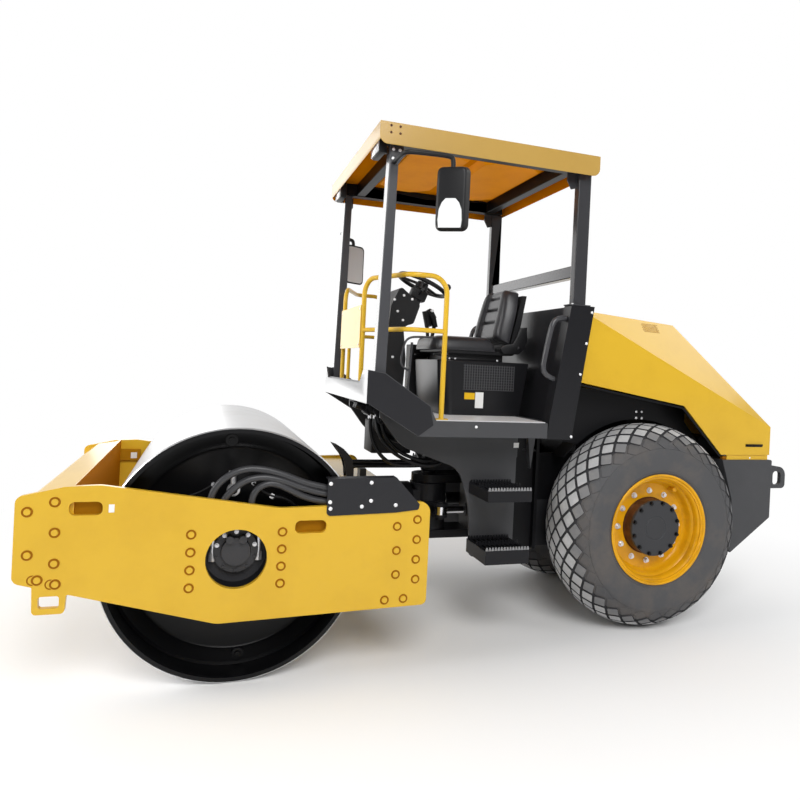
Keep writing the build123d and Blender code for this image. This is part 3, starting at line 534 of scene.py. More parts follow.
def makeDrum():
    s = drumSetup
    bm = bmesh.new()
    ease = 0.006
    for side in (-1, 1):
        profile = [
            (0.0705, side * s["head"]), (0.30, side * s["head"]), (s["weldRadius"] - 0.012, side * s["head"]),
            (s["weldRadius"], side * (s["head"] + 0.006)), (s["weldRadius"] + 0.012, side * s["head"]),
            (s["inner"] - 0.012, side * s["head"]), (s["inner"], side * (s["head"] + 0.012)),
            (s["inner"], side * s["half"]), (s["outer"] - ease, side * s["half"]),
            (s["outer"], side * (s["half"] - ease)), (s["outer"], side * 0.02), (s["outer"], 0.0)]
        addLathe(bm, profile, (drumAxle, 0, drumZ), 160)
    for side in (-1, 1):
        addRod(bm, (drumAxle, side * (s["head"] - 0.001), drumZ),
               (drumAxle, side * (s["head"] + 0.039), drumZ), 0.070,
               48, look=1)
        for radius, angle in s["plugs"]:
            root, neck, end = [onRing((drumAxle, 0, drumZ), radius, math.radians(angle),
                                      side * (s["head"] + out))
                               for out in (0.0, 0.012, 0.024)]
            addRod(bm, root, neck, 0.030, 24, look=1)
            addRod(bm, neck, end, 0.016, 6, look=1)
    paintFaces(bm, 1, lambda c: math.hypot(c.x - drumAxle, c.z - drumZ) < 0.604)
    piece = makePiece("drumShell", bm, [drumSteel, drumBlack], "drum")
    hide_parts("drum")


makeDrum()


# ---- front frame ----

plateSetup = {
    "bolts": [(0.869, 0.851), (0.765, 0.892), (0.761, 0.759), (0.862, 0.665), (0.758, 0.625), (-0.876, 0.775),
              (-0.771, 0.743), (-0.877, 0.673), (-0.773, 0.621), (-0.877, 0.572), (-0.774, 0.500),
              (-0.879, 0.471), (-0.820, 0.376), (-0.723, 0.374)],
    "slotted": [(0.820, 0.556), (0.750, 0.535)],
    "hubColumns": [(side * 0.205, 0.610 + rise) for side in (-1, 1)
                   for rise in (-0.123, -0.041, 0.041, 0.123)],
    # middle X and Z, length, height
    "slots": [(0.644, 0.861, 0.133, 0.059), (-0.339, 0.753, 0.150, 0.062)],
    "pocketBack": 0.856, "pocketWall": 0.008, "plateIn": 0.8798,
}
for node in ("side_plate_left", "side_plate_right", "rear_beam"):
    dressedCopy(node, 0.0035)
# the front beam's inner faces take painted shade
dressedCopy("front_beam", 0.0035, beamInnerShade, lambda c: c.x < drumAxle + 0.715 and c.z < 0.98)


def makePlateBolts():
    # sunk heads: a pale lip, a dark ochre ring painted as the shade in the groove, and the flat head in it
    s = plateSetup
    bm = bmesh.new()
    for side in (-1, 1):
        for x, z in s["bolts"] + s["slotted"] + s["hubColumns"]:
            seat, out = Vector(atDrum(x, side * plateFace, z)), Vector((0, side, 0))
            addRod(bm, seat, seat + out * 0.0016, 0.0262, 32, 0.0250)
            addRod(bm, seat, seat + out * 0.0020, 0.0228, 32, look=1)
            addRod(bm, seat, seat + out * 0.0070, 0.0150, 24, 0.0134)
        for x, z in s["slotted"]:   # the slot beside the head
            seat = Vector(atDrum(x + 0.018, side * plateFace, z))
            addRod(bm, seat, seat + out * 0.0012, 0.0258, 32, 0.0250)
            # the slot's ring is painted groove shade as well
            addRod(bm, seat, seat + out * 0.0015, 0.0224, 32, look=1)
            addRod(bm, seat, seat + out * 0.0018, 0.0165, 32)
    makePiece("plateBolts", bm, [bodyYellow, ochreAndGrooveShade], "front_frame", 25)
    # shallow pockets behind the slots, in darker orange as painted shade
    bm = bmesh.new()
    back, wall = s["pocketBack"], s["pocketWall"]
    for side in (-1, 1):
        for x, z, length, height in s["slots"]:
            x0, x1 = drumAxle + x - length / 2, drumAxle + x + length / 2
            z0, z1 = z - height / 2, z + height / 2
            addSideBox(bm, side, (x0 - wall, back, z0 - wall), (x1 + wall, back + wall, z1 + wall))
            for low, high in (((x0 - wall, z0 - wall), (x0, z1 + wall)),
                              ((x1, z0 - wall), (x1 + wall, z1 + wall)), ((x0, z0 - wall), (x1, z0)),
                              ((x0, z1), (x1, z1 + wall))):
                addSideBox(bm, side, (low[0], back + wall, low[1]), (high[0], s["plateIn"], high[1]))
    makePiece("slotPockets", bm, [pocketShadeOrange], "front_frame", 25, False)


makePlateBolts()
dressedCopy("drum_supports")
dressedCopy("centre_joint")
hornSetup = {
    # X from the rear axle and Z, round the horn
    "outline": [(1.900, 1.058), (1.865, 1.046), (1.832, 1.026), (1.802, 0.996), (1.776, 0.962),
                (1.762, 0.905), (1.762, 0.846), (1.806, 0.846), (1.812, 0.905), (1.824, 0.948),
                (1.842, 0.984), (1.866, 1.014)],
    "inner": 0.040, "outer": 0.052,
}


def makeHorns():
    s = hornSetup
    bm = bmesh.new()
    for side in (-1, 1):
        addPlate(bm, fromAxle(s["outline"]), side * s["inner"], side * (s["outer"] - s["inner"]))
    addBox(bm, (drumAxle - 0.800, -s["inner"], 0.8455), (drumAxle - 0.760, s["inner"], 0.900))
    piece = makePiece("hoseHorns", bm, [coverBlack], "front_frame", 30, False)
    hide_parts("hose_guide")


makeHorns()
dressedCopy("hose_cover", 0.0015)

hubSetup = {"ring": 0.092, "count": 10, "cap": 0.070, "depth": 0.800, "rise": 0.012}


def makeDrumMotors():
    # the motor sits deep behind the hole, with a hose fitting on each side
    s = hubSetup
    bm = bmesh.new()
    z = drumZ + s["rise"]
    for side in (-1, 1):
        y = side * s["depth"]
        addRod(bm, (drumAxle, side * 0.7365, drumZ), (drumAxle, side * 0.770, drumZ), 0.150, 48)
        addRod(bm, (drumAxle, side * 0.765, z), (drumAxle, y, z), 0.104, 40)
        addRod(bm, (drumAxle, y, z), (drumAxle, side * 0.822, z), s["cap"], 36, s["cap"] * 0.95)
        for shift in (-0.030, 0.030):
            addRod(bm, atDrum(shift, side * 0.818, z + 0.062), atDrum(shift, side * 0.846, z + 0.062), 0.018,
                   20, look=0)
        # bolt heads high on the ring are bright zinc and the low ones motor grey: painted light above,
        # painted shade below
        for i in range(s["count"]):
            turn = math.tau * (i + 0.5) / s["count"]
            addBolt(bm, onRing((drumAxle, 0, z), s["ring"], turn, y), (0, side, 0), 0.0075, 0.009,
                    look=1 if math.sin(turn) > -0.3 else 0)
        for across in (-0.108, 0.108):
            foot = Vector(atDrum(across, side * 0.786, z - 0.050))
            addRod(bm, foot, foot + Vector((0, 0, 0.040)), 0.017, 6, look=1)
            addRod(bm, foot + Vector((0, 0, 0.040)), foot + Vector((0, 0, 0.130)), 0.012, 20, look=1)
    makePiece("drumMotors", bm, [motorGrey, zinc], "front_frame", 30)


makeDrumMotors()

coverScrews = [(-0.425, 0.962), (-0.627, 0.966), (-0.425, 0.872), (-0.428, 0.840), (-0.628, 0.876),
               (-0.583, 0.848), (-0.756, 0.852)]
bm = bmesh.new()
for x, z in coverScrews:
    addScrew(bm, atDrum(x, 0.916, z), (0, 1, 0), 0.0095)
makePiece("coverScrews", bm, [whiteZinc], "front_frame", 25)

hubHoseSetup = {
    # X from the drum axle and Z, then the distance from the middle
    "routes": [
        ([(-0.450, 0.925), (-0.386, 0.940), (-0.307, 0.958), (-0.209, 0.998), (-0.128, 1.022),
          (-0.044, 1.031), (0.028, 1.012), (0.089, 0.968), (0.122, 0.915), (0.132, 0.850), (0.130, 0.776)],
          0.865),
        ([(-0.450, 0.898), (-0.387, 0.908), (-0.308, 0.930), (-0.186, 0.976), (-0.115, 0.989),
          (-0.046, 0.981), (0.007, 0.952), (0.051, 0.910), (0.078, 0.860), (0.084, 0.776)], 0.868),
        ([(-0.450, 0.860), (-0.389, 0.868), (-0.310, 0.888), (-0.236, 0.926), (-0.178, 0.955),
          (-0.131, 0.959), (-0.085, 0.938), (-0.062, 0.898), (-0.056, 0.850), (-0.056, 0.776)], 0.868)],
    "radius": 0.0165,
    "low": ([(-0.066, 0.952), (-0.105, 0.915), (-0.158, 0.884), (-0.215, 0.876), (-0.268, 0.848),
             (-0.300, 0.790)], 0.800),
    "thin": ([(0.118, 0.944), (0.160, 0.914), (0.215, 0.892), (0.262, 0.882), (0.290, 0.850)], 0.800),
}
for i, (route, y) in enumerate(hubHoseSetup["routes"]):
    makeHose(f"hubHose{i}", flatRoute(route, y, drumAxle), hubHoseSetup["radius"], hubHoseGrey, "front_frame",
             replaced=("hub_hoses",) if i == 0 else ())
for name, radius in (("low", 0.013), ("thin", 0.006)):
    route, y = hubHoseSetup[name]
    makeHose(f"hubHose{name.capitalize()}", flatRoute(route, y, drumAxle), radius, hoseBlack, "front_frame")
bm = bmesh.new()
# elbow, clamp ring and nuts behind the big hoses
addRod(bm, atDrum(0.026, 0.792, 0.945), atDrum(0.026, 0.792, 1.000), 0.013, 16)
addRod(bm, atDrum(0.026, 0.792, 0.994), atDrum(0.050, 0.792, 1.000), 0.010, 16)
addRod(bm, atDrum(0.024, 0.780, 0.916), atDrum(0.024, 0.800, 0.916), 0.031, 28)
addRod(bm, atDrum(0.024, 0.800, 0.916), atDrum(0.024, 0.804, 0.916), 0.020, 28, look=1)
for x, z, radius in ((0.118, 0.944, 0.010), (-0.068, 0.950, 0.012), (-0.158, 0.886, 0.014)):
    addRod(bm, atDrum(x, 0.786, z), atDrum(x, 0.812, z), radius, 6)
makePiece("hoseFittings", bm, [zinc, castBlack], "front_frame", 30, False)
print("front frame ready")


# ---- steering cylinders ----

for hand in ("left", "right"):
    dressedCopy(f"steer_barrel_{hand}", 0.002)
    dressedCopy(f"steer_rod_{hand}", 0.0015)

trunkSetup = {
    "offsets": ((-0.026, 0.0), (0.0, 0.0), (0.026, 0.0), (-0.013, 0.023), (0.013, 0.023)), "radius": 0.012,
    # X from the rear axle, Y and Z, down to the pivot axis
    "rear": [(1.690, 0.250, 1.256), (1.690, 0.250, 1.200), (1.665, 0.248, 1.150), (1.600, 0.240, 1.112),
             (1.500, 0.180, 1.088), (1.420, 0.110, 1.077), (1.350, 0.040, 1.075), (1.300, 0.005, 1.072),
             (1.262, 0.0, 1.050)],
    # X from the pivot axis, with Z
    "front": [(0.0, 1.010), (0.0, 0.960), (0.020, 0.928), (0.075, 0.917), (0.250, 0.917), (0.420, 0.917),
              (0.505, 0.917), (0.518, 0.895), (0.520, 0.846)],
}


def makeTrunk():
    # each hose runs whole across the joint
    s = trunkSetup
    for i, (shift, rise) in enumerate(s["offsets"]):
        route = [(backAxle + x - rise, y + shift, z) for x, y, z in s["rear"]]
        route += [(pivotX + x + rise, shift, z + rise) for x, z in s["front"]]
        hose = makeHose(f"trunkHose{i}", route, s["radius"], hoseBlack, None,
                        replaced=("front_hoses", "rear_hoses") if i == 0 else ())
        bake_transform(hose)


makeTrunk()
valveSetup = {
    # start and end of each round part under the floor's nose, X from the rear axle
    "rods": [((1.760, 0.225, 1.300), (1.815, 0.225, 1.318), 0.024),
             ((1.760, 0.275, 1.300), (1.815, 0.275, 1.318), 0.024),
             ((1.650, 0.215, 1.280), (1.600, 0.215, 1.268), 0.020),
             ((1.650, 0.285, 1.280), (1.600, 0.285, 1.268), 0.020),
             ((1.715, 0.310, 1.285), (1.715, 0.372, 1.285), 0.016)],
    "levers": [((1.715, 0.360, 1.285), (1.690, 0.360, 1.215), 0.009),
               ((1.690, 0.360, 1.215), (1.655, 0.360, 1.222), 0.009),
               ((1.800, 0.330, 1.300), (1.745, 0.352, 1.262), 0.008)],
    "hoses": [
        [(1.668, 0.300, 1.256), (1.668, 0.320, 1.200), (1.640, 0.350, 1.120), (1.570, 0.372, 1.050),
         (1.480, 0.372, 1.012), (1.380, 0.350, 0.990), (1.280, 0.340, 1.030), (1.120, 0.330, 1.100),
         (0.900, 0.310, 1.120), (0.660, 0.300, 1.100)],
        [(1.700, 0.300, 1.256), (1.700, 0.325, 1.190), (1.660, 0.362, 1.095), (1.585, 0.392, 1.030),
         (1.480, 0.395, 0.985), (1.370, 0.380, 0.965), (1.270, 0.372, 1.000), (1.120, 0.362, 1.080),
         (0.900, 0.350, 1.100), (0.660, 0.345, 1.060)],
        [(1.732, 0.300, 1.256), (1.735, 0.310, 1.180), (1.712, 0.330, 1.080), (1.640, 0.350, 0.990),
         (1.540, 0.350, 0.962), (1.420, 0.345, 0.985), (1.300, 0.320, 1.060), (1.120, 0.300, 1.130),
         (0.900, 0.280, 1.150), (0.660, 0.260, 1.140)]],
}


def makeValve():
    s = valveSetup
    bm = bmesh.new()
    addBox(bm, atRear(1.640, 0.185, 1.262), atRear(1.762, 0.315, 1.318), 0.006)
    addBox(bm, atRear(1.775, 0.180, 1.330), atRear(1.838, 0.330, 1.352), 0.004)
    for start, end, radius in s["rods"] + s["levers"]:
        addRod(bm, atRear(*start), atRear(*end), radius, 20)
    for x in (1.668, 1.700, 1.732):
        addRod(bm, atRear(x, 0.300, 1.262), atRear(x, 0.300, 1.236), 0.015, 6, look=1)
    for x, y in ((1.690, 0.224), (1.690, 0.250), (1.690, 0.276)):
        addRod(bm, atRear(x, y, 1.257), atRear(x, y, 1.232), 0.0135, 6, look=1)
    makePiece("floorValve", bm, [castBlack, zinc], "rear_frame", 30, False)
    for i, route in enumerate(s["hoses"]):
        makeHose(f"noseHose{i}", fromAxle(route), 0.011, hoseBlack, "rear_frame")


makeValve()

hiddenSetup = {
    # low and high corners, X from the rear axle
    "noseBox": ((1.370, -0.280, 0.985), (1.632, -0.060, 1.190)),
    "radiator": ((-0.700, -0.430, 1.0425), (-0.502, 0.430, 1.170)),
    "liner": ((0.300, 0.262, 0.445), (0.6505, 0.288, 0.745)),
    "fins": 22,
}


def makeInnerPlates():
    # dark parts seen through the gaps: a box under the nose, plates behind the tyres and the radiator
    s = hiddenSetup
    bm = bmesh.new()
    (x0, y0, z0), (x1, y1, z1) = s["noseBox"]
    addBox(bm, atRear(x0, y0, z0), atRear(x1, y1, z1), 0.006)
    for side in (-1, 1):
        (x0, y0, z0), (x1, y1, z1) = s["liner"]
        addSideBox(bm, side, atRear(x0, y0, z0), atRear(x1, y1, z1), 0.003)
    (x0, y0, z0), (x1, y1, z1) = s["radiator"]
    addBox(bm, atRear(x0, y0, z0), atRear(x1, y1, z1), 0.006)
    step = (y1 - y0 - 0.06) / s["fins"]
    for i in range(s["fins"]):
        y = y0 + 0.03 + i * step
        addBox(bm, atRear(x0 - 0.006, y, z0 + 0.02), atRear(x0 + 0.002, y + step * 0.4, z1 - 0.02))
    makePiece("innerPlates", bm, [castBlack], "rear_frame", 30, False)


makeInnerPlates()
print("joint ready")


# ---- rear frame ----

# black on the rear part and the inner faces: partly the plates' own black paint, partly painted shade under
# the hood
dressedCopy("rear_frame", 0.003, deepBlack,
            lambda c: c.x < backAxle + 0.84 or abs(c.y) < 0.425, backAxle + 0.845)
# the roof's underside faces take painted shade
dressedCopy("canopy", 0.003, roofUndersideShade,
            lambda c: abs(c.y) < 0.7275 and abs(c.x - backAxle - 1.1945) < 0.654 and c.z < 2.8295)
dressedCopy("platform", 0.002, noseGloss, lambda c: c.x > backAxle + 1.852)
for node, edge in (("tail_block", 0.008), ("bulkhead", 0.004), ("steps", 0.002), ("front_posts", 0.006),
                   ("rear_posts", 0.006), ("canopy_beams", 0.004), ("seat_pod", 0.008), ("hood", 0.004),
                   ("console", 0.006), ("control_console", 0.008)):
    dressedCopy(node, edge)
print("rear frame ready")


# ---- wheels ----

tyreSetup = {
    # radius and distance from the tyre's middle
    "profile": [(0.3395, 0.196), (0.350, 0.204), (0.372, 0.211), (0.400, 0.216), (0.430, 0.219),
                (0.460, 0.2198), (0.480, 0.2180), (0.500, 0.2120), (0.520, 0.203), (0.540, 0.190),
                (0.560, 0.172), (0.578, 0.150), (0.594, 0.124), (0.606, 0.096), (0.614, 0.066),
                (0.619, 0.034), (0.6205, 0.0)],
    # thin rings moulded on the sidewall: radius, distance from the middle, width
    "rings": ((0.352, 0.2045, 0.004), (0.498, 0.2125, 0.0035)),
    "half": 0.2198, "around": 30, "rows": 5, "lug": 0.0115, "rowStep": 0.0455, "fill": 0.84,
    # share of the lug's height, look of its top and look of its walls, where they differ from the middle
    # rows; the lighter tops are partly painted light and partly wear, and the dark walls are painted shade
    "rowLooks": {4: (0.9, 3, 2), 5: (0.5, 0, 0)},
}


def profileStations():
    # distance along the section from the crown outwards, with the place and outward direction there
    pts = [Vector((r, y)) for r, y in reversed(tyreSetup["profile"])]
    run = [0.0]
    for a, b in zip(pts, pts[1:]):
        run.append(run[-1] + (b - a).length)
    return pts, run


def onProfile(pts, run, s):
    reach = min(abs(s), run[-1] - 0.001)
    i = max(k for k in range(len(run) - 1) if run[k] <= reach)
    t = (reach - run[i]) / (run[i + 1] - run[i])
    spot = pts[i].lerp(pts[i + 1], t)
    step = (pts[min(i + 2, len(pts) - 1)] - pts[max(i - 1, 0)]).normalized()
    out = Vector((step.y, -step.x))
    side = 1 if s >= 0 else -1
    return spot.x, spot.y * side, out.x, out.y * side


def makeTyre(side, hand):
    s = tyreSetup
    centre = (backAxle, side * trackHalf, wheelZ)
    bm = bmesh.new()
    rows = [(0.3122, 0.190)] + s["profile"]
    loop = [(r, centre[1] + y) for r, y in rows] + [(r, centre[1] - y) for r, y in reversed(rows[:-1])]
    loop.append(loop[0])
    addLathe(bm, loop, centre, 144)
    for radius, y, width in s["rings"]:
        for face in (-1, 1):
            ring = [(radius - width, centre[1] + face * y), (radius, centre[1] + face * (y + 0.003)),
                    (radius + width, centre[1] + face * (y - 0.001))]
            addLathe(bm, ring, centre, 96)
    # painted shade: the crown between the lugs is darker rubber
    paintFaces(bm, 2, lambda c: math.hypot(c.x - centre[0], c.z - centre[2]) > 0.556)
    pts, run = profileStations()
    pitch = math.tau / s["around"]
    block = bmesh.new()
    bmesh.ops.create_cube(block, size=1, matrix=Matrix.Rotation(math.radians(45), 4, "Z"))
    upright = [e for e in block.edges if abs((e.verts[0].co - e.verts[1].co).z) > 0.5]
    bmesh.ops.bevel(block, geom=upright, offset=0.07, segments=1, profile=0.5, affect="EDGES", material=-1)
    top = [f for f in block.faces if f.calc_center_median().z > 0.4]
    bmesh.ops.poke(block, faces=top)
    corners = [v.co.copy() for v in block.verts]
    faces = [[v.index for v in f.verts] for f in block.faces]
    block.free()
    half = math.sqrt(0.5)
    for row in range(-s["rows"], s["rows"] + 1):
        shift = 0.5 if row % 2 else 0.0
        fade, topLook, wallLook = s["rowLooks"].get(abs(row), (1.0, 1, 2))
        for i in range(s["around"]):
            verts = []
            for c in corners:
                top = c.z > 0
                spread = s["fill"] * (0.95 if top else 1.06)
                along = c.x / half * pitch / 2 * spread
                across = (row + c.y / half * spread) * s["rowStep"]
                r, y, outR, outY = onProfile(pts, run, across)
                lift = s["lug"] * fade if top else -0.004
                angle = (i + shift) * pitch + along
                radius = min(r + outR * lift, wheelZ)
                across = max(-s["half"], min(s["half"], y + outY * lift))
                verts.append(bm.verts.new(onRing(centre, radius, angle, centre[1] + across)))
            for face in faces:
                made = bm.faces.new([verts[k] for k in face])
                made.material_index = topLook if all(corners[k].z > 0 for k in face) else wallLook
    piece = makePiece(f"tyre{hand}", bm, [rubberGrey, treadLightAndWearGrey, grooveShadeBlack, shoulderLightAndWearGrey],
                      f"wheel_{hand.lower()}", 40, False)
    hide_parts(f"tyre_{hand.lower()}")


rimSetup = {
    "profile": [(0.338, 0.197), (0.338, 0.203), (0.334, 0.205), (0.327, 0.204), (0.322, 0.199),
                (0.319, 0.188), (0.306, 0.177), (0.300, 0.167), (0.299, 0.139), (0.288, 0.129),
                (0.283, 0.118), (0.281, 0.096), (0.272, 0.083), (0.263, 0.076)],
    "back": [(0.262, 0.005), (0.300, -0.015), (0.300, -0.199), (0.330, -0.205), (0.338, -0.205),
             (0.338, -0.197), (0.3117, -0.191), (0.3117, 0.191), (0.338, 0.197)],
    "discBolts": (0.218, 12), "coverBolts": (0.1585, 12), "valveRing": 0.275, "valveTurn": 2.15,
}


def makeWheel(side, hand):
    s = rimSetup
    body = f"wheel_{hand.lower()}"
    centre = (backAxle, side * trackHalf, wheelZ)
    bm = bmesh.new()
    front = [(r, centre[1] + side * y) for r, y in s["profile"]]
    disc = [(0.263, side * 0.606), (0.178, side * 0.606), (0.178, side * 0.590), (0.2635, side * 0.590)]
    back = [(r, centre[1] + side * y) for r, y in s["back"]]
    addLathe(bm, front + disc + back, centre, 128)
    valve = Vector(onRing(centre, s["valveRing"], s["valveTurn"], side * 0.640))
    addRod(bm, valve - Vector((0, side * 0.05, 0)), valve + Vector((0, side * 0.022, 0)), 0.020, 20, 0.014)
    piece = makePiece(f"rim{hand}", bm, [rimYellow], body, 30)
    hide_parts(f"rim_{hand.lower()}")

    bm = bmesh.new()
    hub = [(0.0601, 0.465), (0.150, 0.465), (0.150, 0.560), (0.235, 0.565), (0.235, 0.590), (0.178, 0.590),
           (0.176, 0.612), (0.1715, 0.618), (0.1715, 0.674), (0.1715, 0.690), (0.168, 0.694),
           (0.074, 0.694), (0.072, 0.6925), (0.068, 0.6925), (0.066, 0.694), (0.0, 0.694)]
    addLathe(bm, [(r, side * y) for r, y in hub], centre, 96)
    paintFaces(bm, 1, lambda c: abs(c.y) < 0.674)
    radius, count = s["coverBolts"]
    for i in range(count):
        turn = math.tau * (i + 0.5) / count
        addBolt(bm, onRing(centre, radius, turn, side * 0.694), (0, side, 0), 0.0095, 0.014, look=3)
    radius, count = s["discBolts"]
    for i in range(count):
        turn = math.tau * i / count
        addBolt(bm, onRing(centre, radius, turn, side * 0.606), (0, side, 0), 0.0125, 0.020, look=2)
    piece = makePiece(f"hub{hand}", bm, [hubGrey, hubBrown, zinc, drumBlack], body, 30)
    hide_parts(f"hub_{hand.lower()}")


for side, hand in ((1, "Left"), (-1, "Right")):
    makeTyre(side, hand)
    makeWheel(side, hand)
print("wheels ready")


# ---- seat ----

seatSetup = {
    # foot at the back edge, direction along, direction outwards, length, half width, thickness
    "cushion": ((0.934, 1.6690), (1.0, 0.0), (0.0, 1.0), 0.408, 0.234, 0.094),
    "back": ((0.838, 1.7290), (-0.2158, 0.9764), (0.9764, 0.2158), 0.358, 0.232, 0.096),
    "cuts": 47,
}


def groove(distance, width, depth):
    return depth * math.exp(-(distance / width) ** 2)


def padRelief(kind, u, v):
    # share of the full thickness at u across and v along the pad
    side = min(1.0, max(0.0, (abs(u) - 0.50) / 0.14))
    bolster = side * side * (3 - 2 * side)
    if kind == "back":
        level = 0.76 + 0.24 * bolster
        level -= groove(abs(u) - 0.53, 0.026, 0.20)
        if abs(u) < 0.53 and v > 0.1:
            for seam in (0.36, 0.60, 0.82):
                level -= groove(v - seam, 0.017, 0.20)
        level -= 0.10 * max(0.0, v - 0.8)
    else:
        level = 0.86 + 0.12 * bolster - 0.04 * v
        level -= groove(abs(u) - 0.55, 0.022, 0.07)
        if abs(u) < 0.55:
            for seam in (0.30, 0.56, 0.80):
                level -= groove(v - seam, 0.014, 0.05)
    round_ = (1 - abs(u) ** 9) ** 0.5 * (1 - abs(2 * v - 1) ** 11) ** 0.5
    return 0.16 + (level - 0.16) * round_


def makePad(name, node, kind):
    # a divided block whose upper side takes the sewn relief
    foot, along, out, length, half, thick = seatSetup[kind]
    bm = bmesh.new()
    bmesh.ops.create_cube(bm, size=2)
    bmesh.ops.subdivide_edges(bm, edges=bm.edges, cuts=seatSetup["cuts"], use_grid_fill=True)
    for vert in bm.verts:
        u, v, w = vert.co.x, (vert.co.y + 1) / 2, (vert.co.z + 1) / 2
        narrow = 1 - (0.20 * v ** 3 if kind == "back" else 0.06 * v ** 4)
        reach = (v - 0.07 * u ** 4 * max(0.0, v - 0.5) * 2) * length
        depth = thick * padRelief(kind, u, v) * w
        vert.co = (backAxle + foot[0] + along[0] * reach + out[0] * depth, u * half * narrow,
                   foot[1] + along[1] * reach + out[1] * depth)
    piece = makePiece(name, bm, [vinyl], "rear_frame", 70)
    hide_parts(node)


makePad("seatCushion", "seat_cushion", "cushion")
makePad("seatBack", "seat_back", "back")

hingeCover = [(0.901, 1.692), (0.880, 1.715), (0.815, 1.728), (0.790, 1.775), (0.770, 1.832), (0.722, 1.838),
              (0.715, 1.766), (0.730, 1.700), (0.770, 1.662), (0.880, 1.658)]


def makeSeatTrim():
    bm = bmesh.new()
    for side in (-1, 1):
        addPlate(bm, fromAxle(hingeCover), side * 0.236, side * 0.012)
        addScrew(bm, atRear(0.775, side * 0.248, 1.700), (0, side, 0), 0.010)
    edges = [e for e in bm.edges if abs(e.verts[0].co.y - e.verts[1].co.y) < 0.001
             and min(abs(v.co.y) for v in e.verts) > 0.247 and e.calc_length() > 0.02]
    bmesh.ops.bevel(bm, geom=edges, offset=0.006, segments=2, profile=0.5, affect="EDGES", material=-1)
    # slide rails under the cushion
    for side in (-1, 1):
        addSideBox(bm, side, atRear(0.870, 0.196, 1.607), atRear(1.240, 0.212, 1.622), 0.002)
        addRod(bm, atRear(1.225, side * 0.204, 1.630), atRear(1.330, side * 0.204, 1.636), 0.006, 12)
    makePiece("seatTrim", bm, [plastic], "rear_frame", 35, False)
    bm = bmesh.new()
    for side in (-1, 1):
        for x in (0.905, 1.190, 1.228):
            addScrew(bm, atRear(x, side * 0.212, 1.6145), (0, side, 0), 0.006)
    makePiece("seatScrews", bm, [whiteZinc], "rear_frame", 30)


makeSeatTrim()
print("seat ready")


# ---- steering wheel ----

wheelSetup = {"centre": atRear(1.362, 0.0, 2.080), "tilt": 22, "ring": 0.160, "grip": 0.014}


def makeSteeringWheel():
    s = wheelSetup
    tilt = Matrix.Translation(s["centre"]) @ Matrix.Rotation(math.radians(-s["tilt"]), 4, "Y")
    bm = bmesh.new()
    grown = bmesh.ops.create_circle(bm, segments=12, radius=s["grip"],
                                    matrix=Matrix.Translation((s["ring"], 0, 0))
                                    @ Matrix.Rotation(math.pi / 2, 4, "X"))
    bmesh.ops.spin(bm, geom=grown["verts"] + list({e for v in grown["verts"] for e in v.link_edges}),
                   cent=(0, 0, 0),
                   axis=(0, 0, 1), angle=math.tau, steps=56, use_merge=True)
    addRod(bm, (0, 0, -0.030), (0, 0, 0.014), 0.045, 28, 0.036)
    for turn in (90, 210, 330):
        out = Vector((math.cos(math.radians(turn)), math.sin(math.radians(turn)), 0))
        addRod(bm, out * 0.03, out * s["ring"], 0.0095, 12)
    knob = Vector((math.cos(math.radians(150)), math.sin(math.radians(150)), 0)) * s["ring"]
    addRod(bm, knob, knob + Vector((0, 0, 0.028)), 0.008, 12)
    bmesh.ops.create_uvsphere(bm, u_segments=16, v_segments=10, radius=0.022,
                              matrix=Matrix.Translation(knob + Vector((0, 0, 0.044))))
    bmesh.ops.transform(bm, matrix=tilt, verts=bm.verts)
    piece = makePiece("steeringWheel", bm, [plastic], "rear_frame", 40)
    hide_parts("steering_wheel")


makeSteeringWheel()

consoleScrews = [(1.571, 1.962), (1.512, 1.992), (1.458, 1.972), (1.548, 1.891), (1.512, 1.838),
                 (1.566, 1.606)]


def makeColumnTrim():
    # switch housing round the column, and the side covers with their screws
    s = wheelSetup
    tilt = Matrix.Translation(s["centre"]) @ Matrix.Rotation(math.radians(-s["tilt"]), 4, "Y")
    bm = bmesh.new()
    addBox(bm, (-0.052, -0.040, -0.105), (0.052, 0.040, -0.036), 0.010)
    addBox(bm, (-0.030, -0.030, -0.140), (0.030, 0.030, -0.100), 0.008)
    addRod(bm, (0.0, 0.030, -0.070), (0.020, 0.140, -0.062), 0.006, 12)
    addRod(bm, (0.020, 0.140, -0.062), (0.024, 0.166, -0.060), 0.010, 14)
    bmesh.ops.transform(bm, matrix=tilt, verts=bm.verts)
    for side in (-1, 1):
        rows = [(1.583, 1.925), (1.534, 2.036), (1.415, 1.942), (1.452, 1.840), (1.510, 1.812),
                (1.590, 1.812)]
        addPlate(bm, fromAxle(rows), side * 0.1095, side * 0.004)
    makePiece("columnTrim", bm, [plastic], "rear_frame", 35, False)
    bm = bmesh.new()
    for side in (-1, 1):
        for x, z in consoleScrews:
            addScrew(bm, (backAxle + x, side * (0.1135 if z > 1.7 else 0.110), z), (0, side, 0), 0.008)
    makePiece("consoleScrews", bm, [whiteZinc], "rear_frame", 30)


makeColumnTrim()
print("steering wheel ready")


# ---- platform, bulkhead and posts ----

grilleSetup = {"x": (0.822, 1.163), "z": (1.426, 1.583), "step": 0.0165, "bar": 0.0045}


def makePodGrilles():
    s = grilleSetup
    bm = bmesh.new()
    for side in (-1, 1):
        y0, y1 = podFace, podFace + 0.004
        x = s["x"][0]
        while x <= s["x"][1]:
            addSideBox(bm, side, atRear(x, y0, s["z"][0]), atRear(x + s["bar"], y1, s["z"][1]))
            x += s["step"]
        z = s["z"][0]
        while z <= s["z"][1]:
            addSideBox(bm, side, atRear(s["x"][0], y0, z), atRear(s["x"][1], y1, z + s["bar"]))
            z += s["step"]
    makePiece("podGrilles", bm, [grilleGrey], "rear_frame", 25, False)


makePodGrilles()

